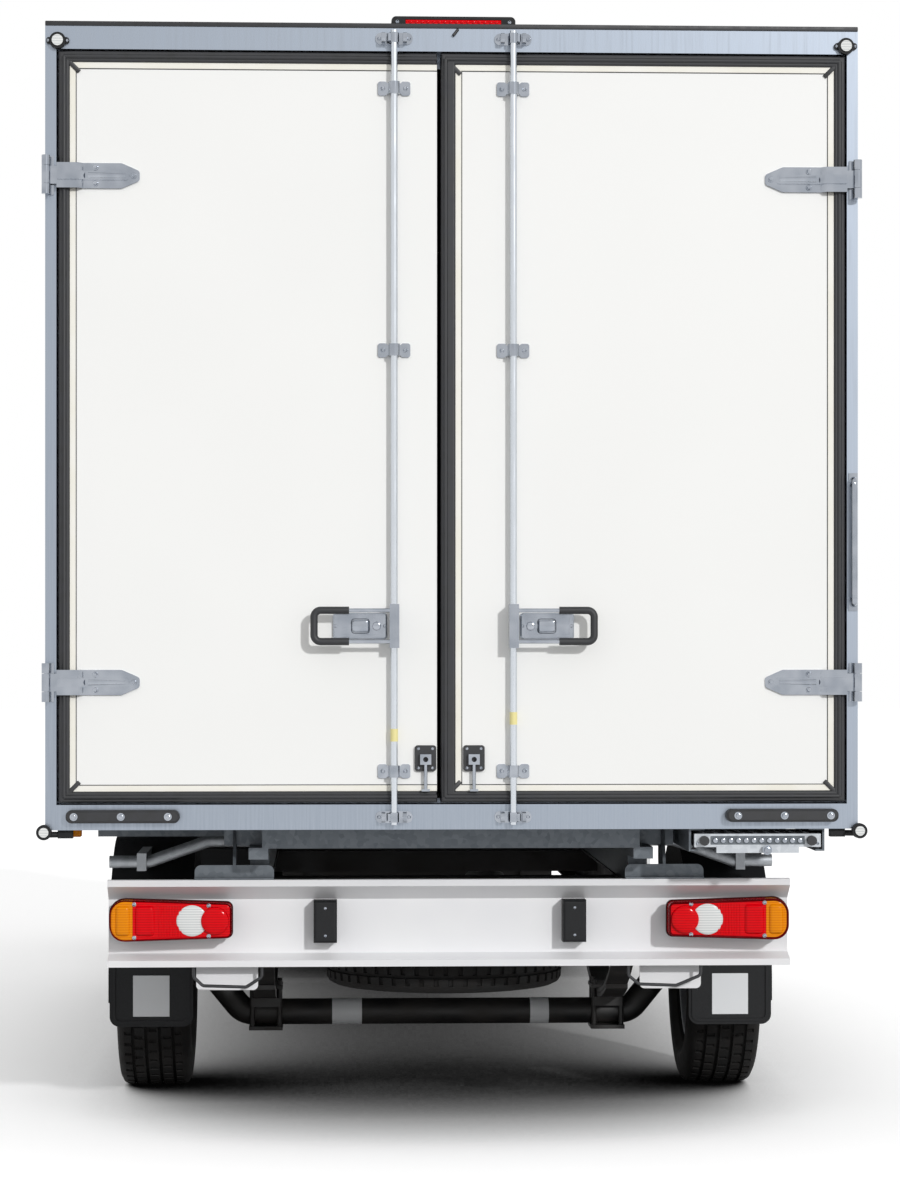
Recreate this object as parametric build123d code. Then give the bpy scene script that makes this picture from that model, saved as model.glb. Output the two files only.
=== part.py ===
from build123d import *
import math
import os

# Insulated box truck: a front-wheel-drive chassis cab that carries a sandwich-panel box.
# Millimetres. +X is the vehicle's right, +Y is forward, +Z is up, and the ground is Z = 0.
# The origin is on the ground, under the middle of the vehicle.

# Overall layout
wheelbase = 4330.0
front_overhang = 850.0
rear_overhang = 1300.0       # rear axle to the rear face of the portal frame
fitting_depth = 62.0         # lock handles stand this far behind the portal frame
track = 1730.0

# Clearances
touch = 0.3                  # fixed or curved pieces that seat on each other
swing_gap = 7.0              # round a door, lid or other moving panel

# Wheels
tyre_radius = 345.0
tyre_width = 225.0
rim_radius = 203.0
rim_width = 165.0
wheel_offset = 66.0          # hub face outboard of the wheel's middle plane
hub_radius = 62.0
stub_radius = 30.0
brake_disc_radius = 140.0
stud_circle_radius = 65.0
stud_count = 5
vent_count = 10
steer_axis_inset = 95.0      # kingpin inboard of the wheel's middle plane

# Box body
box_width = 2200.0
box_height = 2170.0
box_length = 4300.0
sill_z = 860.0               # underside of the box
wall = 60.0
roof_thickness = 80.0
floor_thickness = 80.0
front_wall_thickness = 80.0
edge_profile = 55.0          # leg of the aluminium corner profiles
edge_profile_thickness = 2.5

# Portal frame and rear doors
frame_depth = 110.0
post_face = 30.0
header_face = 66.0
sill_face = 68.0
rebate_step = 32.0
rebate_depth = 24.0
door_thickness = 72.0
seal_width = 30.0
seal_crown = 6.0
meeting_gap = 11.0
hinge_pin_radius = 6.0
hinge_knuckle_radius = 11.5
hinge_pin_inset = 4.0        # pin axis inboard of the box side
hinge_pin_back = 24.0        # pin axis behind the portal frame's rear face
strap_height = 68.0
strap_length = 250.0
strap_taper = 48.0           # length of the narrowing tip
strap_rib = 7.0
strap_jog = 92.0             # from the pin to where the strap drops onto the door
hinge_heights = (1258.0, 2622.0)
lock_rod_radius = 9.5
lock_rod_x = 161.0           # rods beside the vehicle's middle
lock_rod_back = 22.0         # rod axis behind the door face
guide_heights = (1018.0, 2155.0, 2862.0)
handle_z = 1410.0
handle_length = 226.0        # from the rod to the outside of the grip
handle_half = 42.0           # arms above and below the handle's middle
handle_arm_radius = 5.5
grip_radius = 10.0
grip_start = 122.0           # from the rod to where the rubber grip starts
keeper_width = 100.0

# Chassis
rail_x = 530.0
rail_width = 62.0
rail_height = 150.0
rail_z = 540.0
rail_wall = 7.0
bearer_height = 110.0        # body subframe on top of the rails
cross_member_places = (-2450.0, -1250.0, -250.0, 850.0)

# Light bar and rear lamps
bar_half_width = 949.0
bar_bottom_z = 467.0
bar_height = 241.0
bar_setback = 230.0          # bar's rear lip ahead of the portal frame's rear face
bar_depth = 55.0
bar_sheet = 5.0
lamp_length = 343.0
lamp_height = 124.0
lamp_outer_x = 945.0
lamp_z = 598.0
lamp_depth = 86.0

# Cab
cab_length = 2060.0
cab_wall = 60.0
cab_bow_radius = 4500.0      # plan radius of the nose and the windscreen
cab_half_width = 1008.0
cab_floor_z = 600.0
arch_radius = 402.0
arch_inner_x = 560.0
glass = 6.0

# Places worked out from the sizes above
nose_y = (front_overhang + wheelbase + rear_overhang + fitting_depth) / 2
front_axle_y = nose_y - front_overhang
rear_axle_y = front_axle_y - wheelbase
rear_y = rear_axle_y - rear_overhang
box_front_y = rear_y + box_length
cab_rear_y = nose_y - cab_length
box_half = box_width / 2
box_top_z = sill_z + box_height
floor_top_z = sill_z + floor_thickness
half_track = track / 2
rail_top_z = rail_z + rail_height
bar_y = rear_y + bar_setback
bar_web_y = bar_y + bar_depth
bar_top_z = bar_bottom_z + bar_height
axle_z = tyre_radius

nodes = {}


# Helpers
def add(name, *shapes):
    """Keeps the shapes' solids as one named piece of the assembly."""
    nodes[name] = [solid for shape in shapes for solid in shape.solids()]


def block(x, y, z):
    """A box between (low, high) pairs on each axis."""
    centre = [(low + high) / 2 for low, high in (x, y, z)]
    return Pos(*centre) * Box(*[high - low for low, high in (x, y, z)])


def rod_x(radius, x, y, z):
    return Pos((x[0] + x[1]) / 2, y, z) * Rot(0, 90, 0) * Cylinder(radius, x[1] - x[0])


def rod_y(radius, x, y, z):
    return Pos(x, (y[0] + y[1]) / 2, z) * Rot(90, 0, 0) * Cylinder(radius, y[1] - y[0])


def rod_z(radius, x, y, z):
    return Pos(x, y, (z[0] + z[1]) / 2) * Cylinder(radius, z[1] - z[0])


def outline(points, radius=0.0):
    """A closed face through the points, with its corners rounded."""
    face = make_face(Polyline(*points, close=True))
    return fillet(face.vertices(), radius) if radius else face


def rounded(corners):
    """A closed face from rows of (u, v, corner radius)."""
    points = [(u, v) for u, v, _ in corners]
    radii = [r for _, _, r in corners]
    return make_face(FilletPolyline(*points, radius=radii, close=True))


def plate_face(u, v, radius):
    """A rectangle between (low, high) pairs with rounded corners."""
    return rounded([(u[0], v[0], radius), (u[1], v[0], radius), (u[1], v[1], radius), (u[0], v[1], radius)])


def along_x(face, x):
    """A (y, z) face extruded between two x values."""
    return extrude(Plane.YZ.offset(x[0]) * face, amount=x[1] - x[0])


def along_y(face, y):
    """An (x, z) face extruded between two y values."""
    return extrude(Plane.XZ.offset(-y[0]) * face, amount=-(y[1] - y[0]))


def along_z(face, z):
    """An (x, y) face extruded between two z values."""
    return extrude(Plane.XY.offset(z[0]) * face, amount=z[1] - z[0])


def mirrored(shape):
    return mirror(shape, about=Plane.YZ)


def pair(shape):
    return [shape, mirrored(shape)]


def tube(points, radius, bend):
    """A round bar along straight runs joined by bends."""
    path = FilletPolyline(*points, radius=bend)
    start = Plane(path @ 0, z_dir=path % 0)
    return sweep(start * Circle(radius), path=path)


# Wheels: steel disc wheel with hub and brake disc, and a road tyre
def tyre():
    """A tyre about the X axis at the origin."""
    half = tyre_width / 2
    bead = rim_radius + touch
    tread = half - 22
    right = [
        (bead, rim_width / 2 - 12),
        (bead + 22, rim_width / 2 - 8),
        (bead + 62, half),
        (bead + 96, half - 3),
        (tyre_radius - 14, tread + 12),
        (tyre_radius - 3, tread - 4),
    ]
    section = right + [(tyre_radius, 0)] + [(r, -x) for r, x in reversed(right)]
    face = make_face(Polyline(*[(x, r) for r, x in section], close=True))
    return revolve(face, axis=Axis.X)


def wheel():
    """A wheel about the X axis at the origin, with its outer side at +X."""
    half = rim_width / 2
    sheet = 6.0
    barrel = [
        (-half, rim_radius + 14), (-half + sheet, rim_radius + 14),
        (-half + 12, rim_radius - 1), (-28, rim_radius - 5), (-18, rim_radius - 26),
        (28, rim_radius - 26), (38, rim_radius - 5), (half - 12, rim_radius - 1),
        (half - sheet, rim_radius + 14), (half, rim_radius + 14),
        (half, rim_radius - 4), (half - 10, rim_radius - 9), (44, rim_radius - 12),
        (32, rim_radius - 34), (-22, rim_radius - 34), (-34, rim_radius - 12),
        (-half + 10, rim_radius - 9), (-half, rim_radius - 4),
    ]
    rim = revolve(make_face(Polyline(*barrel, close=True)), axis=Axis.X)
    dish = [
        (24, rim_radius - 33), (52, 150), (78, 120), (72, 88),
        (wheel_offset, 82), (wheel_offset, stub_radius), (wheel_offset - 10, stub_radius),
        (wheel_offset - 10, 90), (64, 116), (42, 146), (14, rim_radius - 33),
    ]
    disc = revolve(make_face(Polyline(*dish, close=True)), axis=Axis.X)
    vent = rod_x(15, (0, 120), 0, 137)
    for number in range(vent_count):
        disc -= Rot(360 * number / vent_count, 0, 0) * vent
    hub = rod_x(hub_radius, (-40, wheel_offset + 4), 0, 0)
    cap = rod_x(36, (wheel_offset, wheel_offset + 26), 0, 0)
    brake = rod_x(brake_disc_radius, (-40, -16), 0, 0)
    stud = rod_x(11, (wheel_offset - 2, wheel_offset + 20), 0, stud_circle_radius)
    whole = rim + disc + hub + cap + brake
    for number in range(stud_count):
        whole += Rot(360 * number / stud_count, 0, 0) * stud
    bore = rod_x(stub_radius + touch, (-60, wheel_offset - 4), 0, 0)
    return whole - bore


one_tyre = tyre()
one_wheel = wheel()
wheel_places = {
    "front_left": (-half_track, front_axle_y),
    "front_right": (half_track, front_axle_y),
    "rear_left": (-half_track, rear_axle_y),
    "rear_right": (half_track, rear_axle_y),
}
for place, (x, y) in wheel_places.items():
    outward = Rot(0, 0, 180) if x < 0 else Rot(0, 0, 0)
    add(f"wheel_{place}", Pos(x, y, axle_z) * outward * one_wheel)
    add(f"tyre_{place}", Pos(x, y, axle_z) * one_tyre)

# Spare wheel, flat under the rear of the chassis
spare_y = rear_y + 700
spare_z = 370 + tyre_width / 2
lay_flat = Pos(0, spare_y, spare_z) * Rot(0, 90, 0)
add("spare_wheel", lay_flat * one_wheel, lay_flat * one_tyre)

# Chassis frame: two channel rails, lower front rails and cross members
rail_rear_y = bar_web_y + bar_sheet + 6
rail_front_y = cab_rear_y - 12
low_rail_x = 465.0
low_rail_width = 60.0
low_rail_z = (420.0, 548.0)
rail_in = rail_x - rail_width / 2
rail_out = rail_x + rail_width / 2
rail = block((rail_in, rail_out), (rail_rear_y, rail_front_y), (rail_z, rail_top_z))
rail -= block((rail_in - 1, rail_out - rail_wall), (rail_rear_y - 1, rail_front_y + 1),
              (rail_z + rail_wall, rail_top_z - rail_wall))
low_rail = block((low_rail_x - low_rail_width / 2, low_rail_x + low_rail_width / 2),
                 (cab_rear_y - 320, front_axle_y + 560), low_rail_z)
splice = block((low_rail_x - low_rail_width / 2, rail_out - 1),
               (cab_rear_y - 320, cab_rear_y - 60), (low_rail_z[0] + 20, rail_top_z - 1))
chassis = rail + low_rail + splice
chassis += mirrored(chassis)
for y in cross_member_places:
    chassis += block((-rail_out + 3, rail_out - 3), (y - 35, y + 35), (612, rail_top_z - 10))
chassis += block((-low_rail_x, low_rail_x), (cab_rear_y - 300, cab_rear_y - 230), (440, 520))
chassis += block((-700, 700), (front_axle_y + 555, front_axle_y + 620), (430, 540))
# The spare wheel hangs from a post under the cross member above it
chassis += rod_z(26, 0, spare_y, (spare_z - wheel_offset + 4, 640))
chassis += block((-rail_out + 3, rail_out - 3), (spare_y - 35, spare_y + 35), (616, 676))
# Outriggers that carry the fuel tank
tank_y = (-520.0, 260.0)
for y in (tank_y[0] + 120, tank_y[1] - 120):
    chassis += block((-890, -rail_x), (y - 22, y + 22), (640, rail_top_z - 12))
# Spring hangers under the rails
spring_half = 640.0
spring_eye_z = 470.0
for y in (rear_axle_y - spring_half, rear_axle_y + spring_half):
    for x in (-1, 1):
        hanger = block((x * rail_x - 44, x * rail_x - 36.5), (y - 30, y + 30), (spring_eye_z - 26, 600))
        hanger += block((x * rail_x + 36.5, x * rail_x + 44), (y - 30, y + 30), (spring_eye_z - 26, 600))
        hanger += block((x * rail_x - 44, x * rail_x + 44), (y - 30, y + 30), (rail_z - 10, rail_z + 5))
        hanger += rod_x(10, (x * rail_x - 52, x * rail_x + 52), y, spring_eye_z)
        chassis += hanger
# Front towing eye socket in the bumper beam
tow_eye_x = 380.0
tow_eye_z = 485.0
tow_socket_radius = 9.0
chassis += rod_y(24, tow_eye_x, (front_axle_y + 600, front_axle_y + 640), tow_eye_z)
chassis -= rod_y(tow_socket_radius, tow_eye_x, (front_axle_y + 590, front_axle_y + 645), tow_eye_z)
add("chassis_frame", chassis)

# Body subframe on the rails: long bearers, cross bearers, light-bar hangers, step runners
bearer_y = (rear_y + 150, box_front_y - 20)
cross_z = (rail_top_z + bearer_height, sill_z)
subframe = Part()
for x in (-rail_x, rail_x):
    subframe += block((x - 27, x + 27), (rail_rear_y + 20, bearer_y[1]), (rail_top_z, cross_z[0] + 2))
    subframe += block((x - 27, x + 27), (bearer_y[0], rail_rear_y + 21), (cross_z[0] - 30, cross_z[0] + 2))
cross_count = 8
for number in range(cross_count):
    y = bearer_y[0] + number * (bearer_y[1] - bearer_y[0] - 60) / (cross_count - 1)
    reach = 520 if number == 0 else 1010
    subframe += block((-reach, reach), (y, y + 60), cross_z)
hanger_x = 599.0
for x in (-hanger_x, hanger_x):
    side = 1 if x > 0 else -1
    web = rounded([(bar_y + 22, bar_top_z, 4), (bar_y + 22, bar_top_z + 60, 30), (bar_y + 62, sill_z, 4),
                   (bar_y + 150, sill_z, 4), (bar_y + 150, bar_top_z + 30, 40), (bar_y + 96, bar_top_z, 4)])
    subframe += along_x(web, (x - 4, x + 4))
    foot = rounded([(x - 110, bar_top_z, 3), (x + 110, bar_top_z, 3), (x + 110, bar_top_z + 40, 18),
                    (x - 110, bar_top_z + 40, 18)])
    subframe += along_y(foot, (bar_y + 22, bar_y + 28))
    subframe += block((x - 110, x + 110), (bar_y + 2, bar_y + 28), (bar_top_z, bar_top_z + 5))
    subframe += block(sorted((x + side * 30, side * (rail_x - 27))), (bar_y + 70, bar_y + 140), cross_z)
step_x = (655.0, 1000.0)
for x in step_x:
    out = 1 if x == step_x[1] else -1
    runner = block(sorted((x + out * 7, x + out * 13)), (rear_y + 26, rear_y + 520), (798, sill_z))
    runner += block(sorted((x - out * 12, x + out * 13)), (rear_y + 26, rear_y + 520), (798, 803))
    runner += block(sorted((x - out * 30, x + out * 13)), (rear_y + 26, rear_y + 520), (sill_z - 5, sill_z))
    subframe += runner
add("body_subframe", subframe)

# Step that slides out rearwards on the right
tray_z = (810.0, 846.0)
tray_y = (rear_y + 8, rear_y + 330)
tray = block(step_x, tray_y, (tray_z[0], tray_z[0] + 4))
tray += block(step_x, (tray_y[0], tray_y[0] + 5), tray_z)
for x in step_x:
    inner = 1 if x == step_x[0] else -1
    tray += block(sorted((x, x + inner * 5)), tray_y, tray_z)
tray += block(step_x, (tray_y[0], tray_y[0] + 230), (tray_z[1] - 4, tray_z[1]))
for column in range(9):
    for row in range(5):
        x = step_x[0] + 34 + column * (step_x[1] - step_x[0] - 68) / 8
        y = tray_y[0] + 34 + row * 40
        tray -= rod_z(11, x, y, (tray_z[1] - 10, tray_z[1] + 10))
tray += block((step_x[0] + 60, step_x[1] - 60), (tray_y[0] - 2, tray_y[0] + 16),
              (tray_z[0] - 16, tray_z[0] + 2))
tray += rod_y(9, (step_x[0] + step_x[1]) / 2 + 24, (tray_y[0] - 16, tray_y[0] + 8), tray_z[0] - 7)
for x in (step_x[0] + 26, step_x[1] - 26):
    tray += rod_y(13, x, (tray_y[0] - 20, tray_y[0] + 4), (tray_z[0] + tray_z[1]) / 2)
for x in step_x:
    out = 1 if x == step_x[1] else -1
    tray += block(sorted((x - out * 2, x + out * 5)), (tray_y[0] + 60, tray_y[1]),
                  (tray_z[0] - 6.7, tray_z[0] + 6))
add("step_tray", tray)

# Rear axle beam, dropped between the wheels, and its leaf springs
beam_z = 222.0
spring_width = 66.0
spring_leaf = 13.0
beam = tube([(-half_track + 46, rear_axle_y, axle_z), (-700, rear_axle_y, axle_z),
             (-600, rear_axle_y, beam_z), (600, rear_axle_y, beam_z),
             (700, rear_axle_y, axle_z), (half_track - 46, rear_axle_y, axle_z)], 40, 60)
for x in (-1, 1):
    ends = sorted((x * (half_track - 60), x * (half_track + wheel_offset - 12)))
    beam += rod_x(stub_radius, ends, rear_axle_y, axle_z)
    beam += block((x * rail_x - 45, x * rail_x + 45), (rear_axle_y - 60, rear_axle_y + 60),
                  (beam_z + 20, beam_z + 48))


def leaf_face(radius, low, half):
    """A leaf's side view: an arc band whose underside is lowest, at the given height, in the middle."""
    def arc(r):
        end = low + radius - math.sqrt(r ** 2 - half ** 2)
        return (-half, end), (0, low + radius - r), (half, end)

    under, over = arc(radius), arc(radius - spring_leaf)
    return make_face([ThreePointArc(*under), Line(under[2], over[2]),
                      ThreePointArc(*over[::-1]), Line(over[0], under[0])])


def leaf_spring():
    """A main leaf with rolled eyes and a shorter leaf, clamped on the axle's pad."""
    half = spring_width / 2
    seat = beam_z + 48
    leaf_gap = 2.0
    low = seat + spring_leaf + leaf_gap
    rise = spring_eye_z + 12 - low
    radius = (spring_half ** 2 + rise ** 2) / (2 * rise)
    spring = along_x(leaf_face(radius, low, spring_half), (-half, half))
    spring += along_x(leaf_face(radius + spring_leaf + leaf_gap, seat, 360), (-half, half))
    spring += block((-half + 2, half - 2), (-50, 50), (seat + 1, low + 6))
    for y in (-spring_half, spring_half):
        spring += rod_x(24, (-half, half), y, spring_eye_z)
        spring -= rod_x(10 + touch, (-half - 1, half + 1), y, spring_eye_z)
    plate_z = low + spring_leaf
    for y in (-42, 42):
        for x in (-half - 9, half + 9):
            spring += rod_z(8, x, y, (beam_z - 52, plate_z + 24))
    spring += block((-half - 19, half + 19), (-60, 60), (plate_z - 1, plate_z + 10))
    spring += block((-half - 19, half + 19), (-60, 60), (beam_z - 52, beam_z - 40 - touch))
    return spring


one_spring = leaf_spring()
add("leaf_springs", *[Pos(x, rear_axle_y, 0) * one_spring for x in (-rail_x, rail_x)])
for x in (-rail_x, rail_x):
    for y in (-42, 42):
        for dx in (-spring_width / 2 - 9, spring_width / 2 + 9):
            beam -= rod_z(8 + touch, x + dx, rear_axle_y + y, (beam_z - 60, beam_z + 60))
add("rear_axle", beam)

# Front suspension: cradle and lower arms with ball-joint sockets
arm_z = (236.0, 264.0)
steer_x = half_track - steer_axis_inset
steer_low = (steer_x, front_axle_y, 250.0)
steer_top = (steer_x - 118, front_axle_y, 830.0)
steer_length = math.dist(steer_low, steer_top)
lean = math.degrees(math.atan2(steer_low[0] - steer_top[0], steer_top[2] - steer_low[2]))
ball_radius = 13.0
ball_stem_radius = 9.0
cradle = block((-430, 430), (front_axle_y - 170, front_axle_y + 170), (228, 285))
cradle -= block((-330, 330), (front_axle_y - 90, front_axle_y + 110), (220, 290))
for x in (-1, 1):
    post = block(sorted((x * 437, x * 493)), (front_axle_y - 165, front_axle_y - 110), (250, low_rail_z[0]))
    post += block(sorted((x * 437, x * 493)), (front_axle_y + 110, front_axle_y + 165), (250, low_rail_z[0]))
    post += block(sorted((x * 400, x * 493)), (front_axle_y - 165, front_axle_y + 165), (250, 280))
    arm = outline([(x * 470, front_axle_y - 140), (x * 470, front_axle_y + 140),
                   (x * (steer_x + 28), front_axle_y + 34), (x * (steer_x + 28), front_axle_y - 34)])
    cut = outline([(x * 520, front_axle_y - 85), (x * 520, front_axle_y + 85),
                   (x * (steer_x - 70), front_axle_y + 18), (x * (steer_x - 70), front_axle_y - 18)])
    cradle += post + along_z(arm, arm_z) - along_z(cut, (arm_z[0] - 1, arm_z[1] + 1))
    socket = Sphere(ball_radius + touch) + Pos(0, 0, 30) * Cylinder(ball_stem_radius + touch, 60)
    cradle -= Pos(x * steer_low[0], *steer_low[1:]) * Rot(0, -x * lean, 0) * socket

# Steered knuckles, each with its strut on the steering axis


def knuckle():
    """The right knuckle: upright, stub axle, strut and coil spring."""
    on_axis = Pos(*steer_low) * Rot(0, -lean, 0)
    strut = on_axis * (Pos(0, 0, (120 + steer_length) / 2) * Cylinder(24, steer_length - 120))
    spring = [(20, 452), (58, 452), (64, 460)]
    for turn in range(4):
        spring += [(64, 464 + turn * 26), (53, 477 + turn * 26)]
    spring += [(64, 566), (20, 570)]
    coil = on_axis * revolve(Plane.XZ * make_face(Polyline(*spring, close=True)), axis=Axis.Z)
    upright = block((steer_x - 34, steer_x + 26), (front_axle_y - 42, front_axle_y + 42),
                    (arm_z[1] + 26, 470))
    joint = on_axis * (Sphere(ball_radius) + Pos(0, 0, 35) * Cylinder(ball_stem_radius, 70))
    upright += rod_x(58, (steer_x - 34, half_track - 46), front_axle_y, axle_z)
    upright += block((steer_x - 30, steer_x + 10), (front_axle_y - 150, front_axle_y), (300, 326))
    stub = rod_x(stub_radius, (steer_x, half_track + wheel_offset - 12), front_axle_y, axle_z)
    return upright + joint + strut + coil + stub


right_knuckle = knuckle()
add("knuckle_right", right_knuckle)
add("knuckle_left", mirrored(right_knuckle))

# Engine and gearbox as one plain block, fuel tank, exhaust
add("engine", block((-400, 400), (front_axle_y - 60, front_axle_y + 330), (low_rail_z[0] + 20, 930))
    + block((-435, 435), (front_axle_y + 60, front_axle_y + 140), (low_rail_z[1] - 90, low_rail_z[1] - 40))
    - block((-300, 300), (front_axle_y - 70, front_axle_y + 20), (400, 560)))
tank = block((-880, -590), tank_y, (400, 640))
add("fuel_tank", fillet(tank.edges().filter_by(Axis.Y), 45))
exhaust = tube([(180, 1900, 470), (230, 1500, 400), (230, 300, 400), (230, -200, 470), (230, -900, 470),
                (330, -1180, 470), (880, -1250, 470)], 27, 90)
exhaust += rod_y(95, 230, (-820, -330), 470)
for y in (850, -250):
    exhaust += rod_z(7, 230, y, (410, 612))
exhaust -= tube([(830, -1244, 470), (900, -1253, 470.0), (910, -1254, 470)], 24, 2)
add("exhaust", exhaust)

# Box panels
panel_rear_y = rear_y + frame_depth
front_in_y = box_front_y - front_wall_thickness
roof_z = box_top_z - roof_thickness
inside = box_half - wall
add("box_floor", block((-inside, inside), (panel_rear_y, front_in_y), (sill_z, floor_top_z)))
add("box_side_walls", *pair(block((inside, box_half), (panel_rear_y, front_in_y), (sill_z, roof_z))))
add("box_front_wall", block((-box_half, box_half), (front_in_y, box_front_y), (sill_z, roof_z)))
add("box_roof", block((-box_half, box_half), (panel_rear_y, box_front_y), (roof_z, box_top_z)))

# Aluminium corner profiles round the outside of the panels
edge_out = box_half + edge_profile_thickness
edge_in = box_half - edge_profile
edge_runs = []
for z, up in ((box_top_z, 1), (sill_z, -1)):
    run_y = (panel_rear_y + touch, box_front_y)
    legs = block((edge_in, edge_out), run_y, sorted((z, z + up * edge_profile_thickness)))
    legs += block((box_half, edge_out), run_y, sorted((z - up * edge_profile, z + up * edge_profile_thickness)))
    edge_runs += pair(legs)
upright_z = (sill_z + edge_profile + 1, box_top_z - edge_profile - 1)
upright_edge = block((box_half, edge_out), (box_front_y - edge_profile, box_front_y + edge_profile_thickness),
                     upright_z)
upright_edge += block((edge_in, edge_out), (box_front_y, box_front_y + edge_profile_thickness), upright_z)
add("box_edge_profiles", *edge_runs, *pair(upright_edge))

# Portal frame: outer ring with a rebate that the doors close against
opening_x = box_half - post_face
opening_z = (sill_z + sill_face, box_top_z - header_face)
rebate_y = panel_rear_y - rebate_depth
portal = block((-box_half, box_half), (rear_y, panel_rear_y), (sill_z, box_top_z))
portal -= block((-opening_x, opening_x), (rear_y - 1, rebate_y), opening_z)
portal -= block((-inside, inside), (rear_y - 1, panel_rear_y + 1), (floor_top_z, opening_z[1] - rebate_step))
add("rear_frame", portal)

# Fittings fixed to the portal frame
pin_x = box_half - hinge_pin_inset
pin_y = rear_y - hinge_pin_back
knuckle_half = 52.0
strap_knuckle_half = 24.0
fittings = []
for z in hinge_heights:
    leaf = block((pin_x - 20, pin_x + 3), (rear_y - 5, rear_y), (z - knuckle_half, z + knuckle_half))
    for low, high in ((-knuckle_half, -strap_knuckle_half - 1), (strap_knuckle_half + 1, knuckle_half)):
        leaf += rod_z(hinge_knuckle_radius, pin_x, pin_y, (z + low, z + high))
        leaf += block((pin_x - 6, pin_x + 3), (pin_y, rear_y - 4), (z + low, z + high))
    leaf += rod_z(hinge_pin_radius, pin_x, pin_y, (z - knuckle_half, z + knuckle_half))
    fittings += pair(leaf)
header_z = box_top_z - header_face / 2
sill_mid_z = sill_z + sill_face / 2
for z in (header_z, sill_mid_z):
    keeper_x = (lock_rod_x - keeper_width / 2, lock_rod_x + keeper_width / 2)
    keeper = along_y(plate_face(keeper_x, (z - 16, z + 16), 15), (rear_y - 4, rear_y))
    ear = rounded([(rear_y - 3, z - 14, 1), (rear_y - 32, z - 14, 12), (rear_y - 32, z + 14, 12),
                   (rear_y - 3, z + 14, 1)])
    for x in (lock_rod_x - 29, lock_rod_x + 29):
        keeper += along_x(ear, (x - 5, x + 5))
    fittings += pair(keeper)
grab_x = box_half - 13
grab_z = (1470.0, 1808.0)
grab = tube([(grab_x, rear_y, grab_z[0]), (grab_x, rear_y - 26, grab_z[0]),
             (grab_x, rear_y - 26, grab_z[1]), (grab_x, rear_y, grab_z[1])], 8, 14)
for z in grab_z:
    grab += block((grab_x - 12, grab_x + 12), (rear_y - 4, rear_y), (z - 18, z + 18))
add("rear_frame_fittings", *fittings, grab)

# Rubber buffers on the sill
buffer_x = (738.0, 1043.0)
buffer_z = (880.0, 915.0)
strip = along_y(plate_face(buffer_x, buffer_z, 16), (rear_y - 34, rear_y))
add("sill_buffers", *pair(chamfer(strip.edges().group_by(Axis.Y)[0], 6)))

# Small lamps: round markers on the header and the sill corners, brake lamp on the roof
marker_x, marker_z = 1066.0, 2985.0
ears = plate_face((marker_x - 31, marker_x + 31), (marker_z - 9, marker_z + 9), 8)
marker = rod_y(22, marker_x, (rear_y - 14, rear_y), marker_z) + along_y(ears, (rear_y - 8, rear_y))
marker += rod_y(15, marker_x, (rear_y - 18, rear_y - 13), marker_z)
corner_x, corner_z = 1102.0, 855.0
corner = rod_y(20.5, corner_x, (rear_y - 24, rear_y - 2), corner_z)
corner += rod_y(13, corner_x, (rear_y - 28, rear_y - 23), corner_z)
corner += tube([(corner_x, rear_y - 8, corner_z - 8), (corner_x - 6, rear_y + 22, corner_z - 8),
                (corner_x - 60, rear_y + 34, corner_z - 8)], 8, 14)
corner += block((corner_x - 74, corner_x - 34), (rear_y + 18, rear_y + 50), (corner_z - 18, sill_z))
brake_half = 168.0
brake_z = (box_top_z, box_top_z + 30)
brake_face = rounded([(-brake_half, brake_z[0], 2), (brake_half, brake_z[0], 2),
                      (brake_half, brake_z[1], 13), (-brake_half, brake_z[1], 13)])
brake_lamp = along_y(brake_face, (rear_y + 6, rear_y + 46))
brake_lamp -= block((-130, 130), (rear_y, rear_y + 12), (box_top_z + 8, box_top_z + 22))
brake_lamp += block((-129, 129), (rear_y + 8, rear_y + 13), (box_top_z + 9, box_top_z + 21))
add("marker_lamps", *pair(marker), *pair(corner), brake_lamp)


# Rear doors
seal_out = opening_x - 6.0
seal_in = seal_out - seal_width
seal_z = (opening_z[0] + 6, opening_z[1] - 6)
door_z = (seal_z[0] + seal_width, seal_z[1] - seal_width)
seal_y = (rear_y - seal_crown, rear_y + 64)
door_y = (rear_y, rear_y + door_thickness)
meeting_x = (-34.0, 5.0)                       # the right door's meeting seal
left_edge_x = meeting_x[0] - meeting_gap


def seal_ring(x_in, x_out, closed):
    """A door's edge seal between its inner and outer x; open at the meeting edge or closed."""
    inner_x = (x_in, seal_in) if closed else (x_in - 10, seal_in)
    ring = block((x_out if closed else x_in, seal_out), seal_y, seal_z)
    ring -= block(inner_x, (seal_y[0] - 1, seal_y[1] + 1), door_z)
    return fillet(ring.edges().group_by(Axis.Y)[0], 6)


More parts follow.
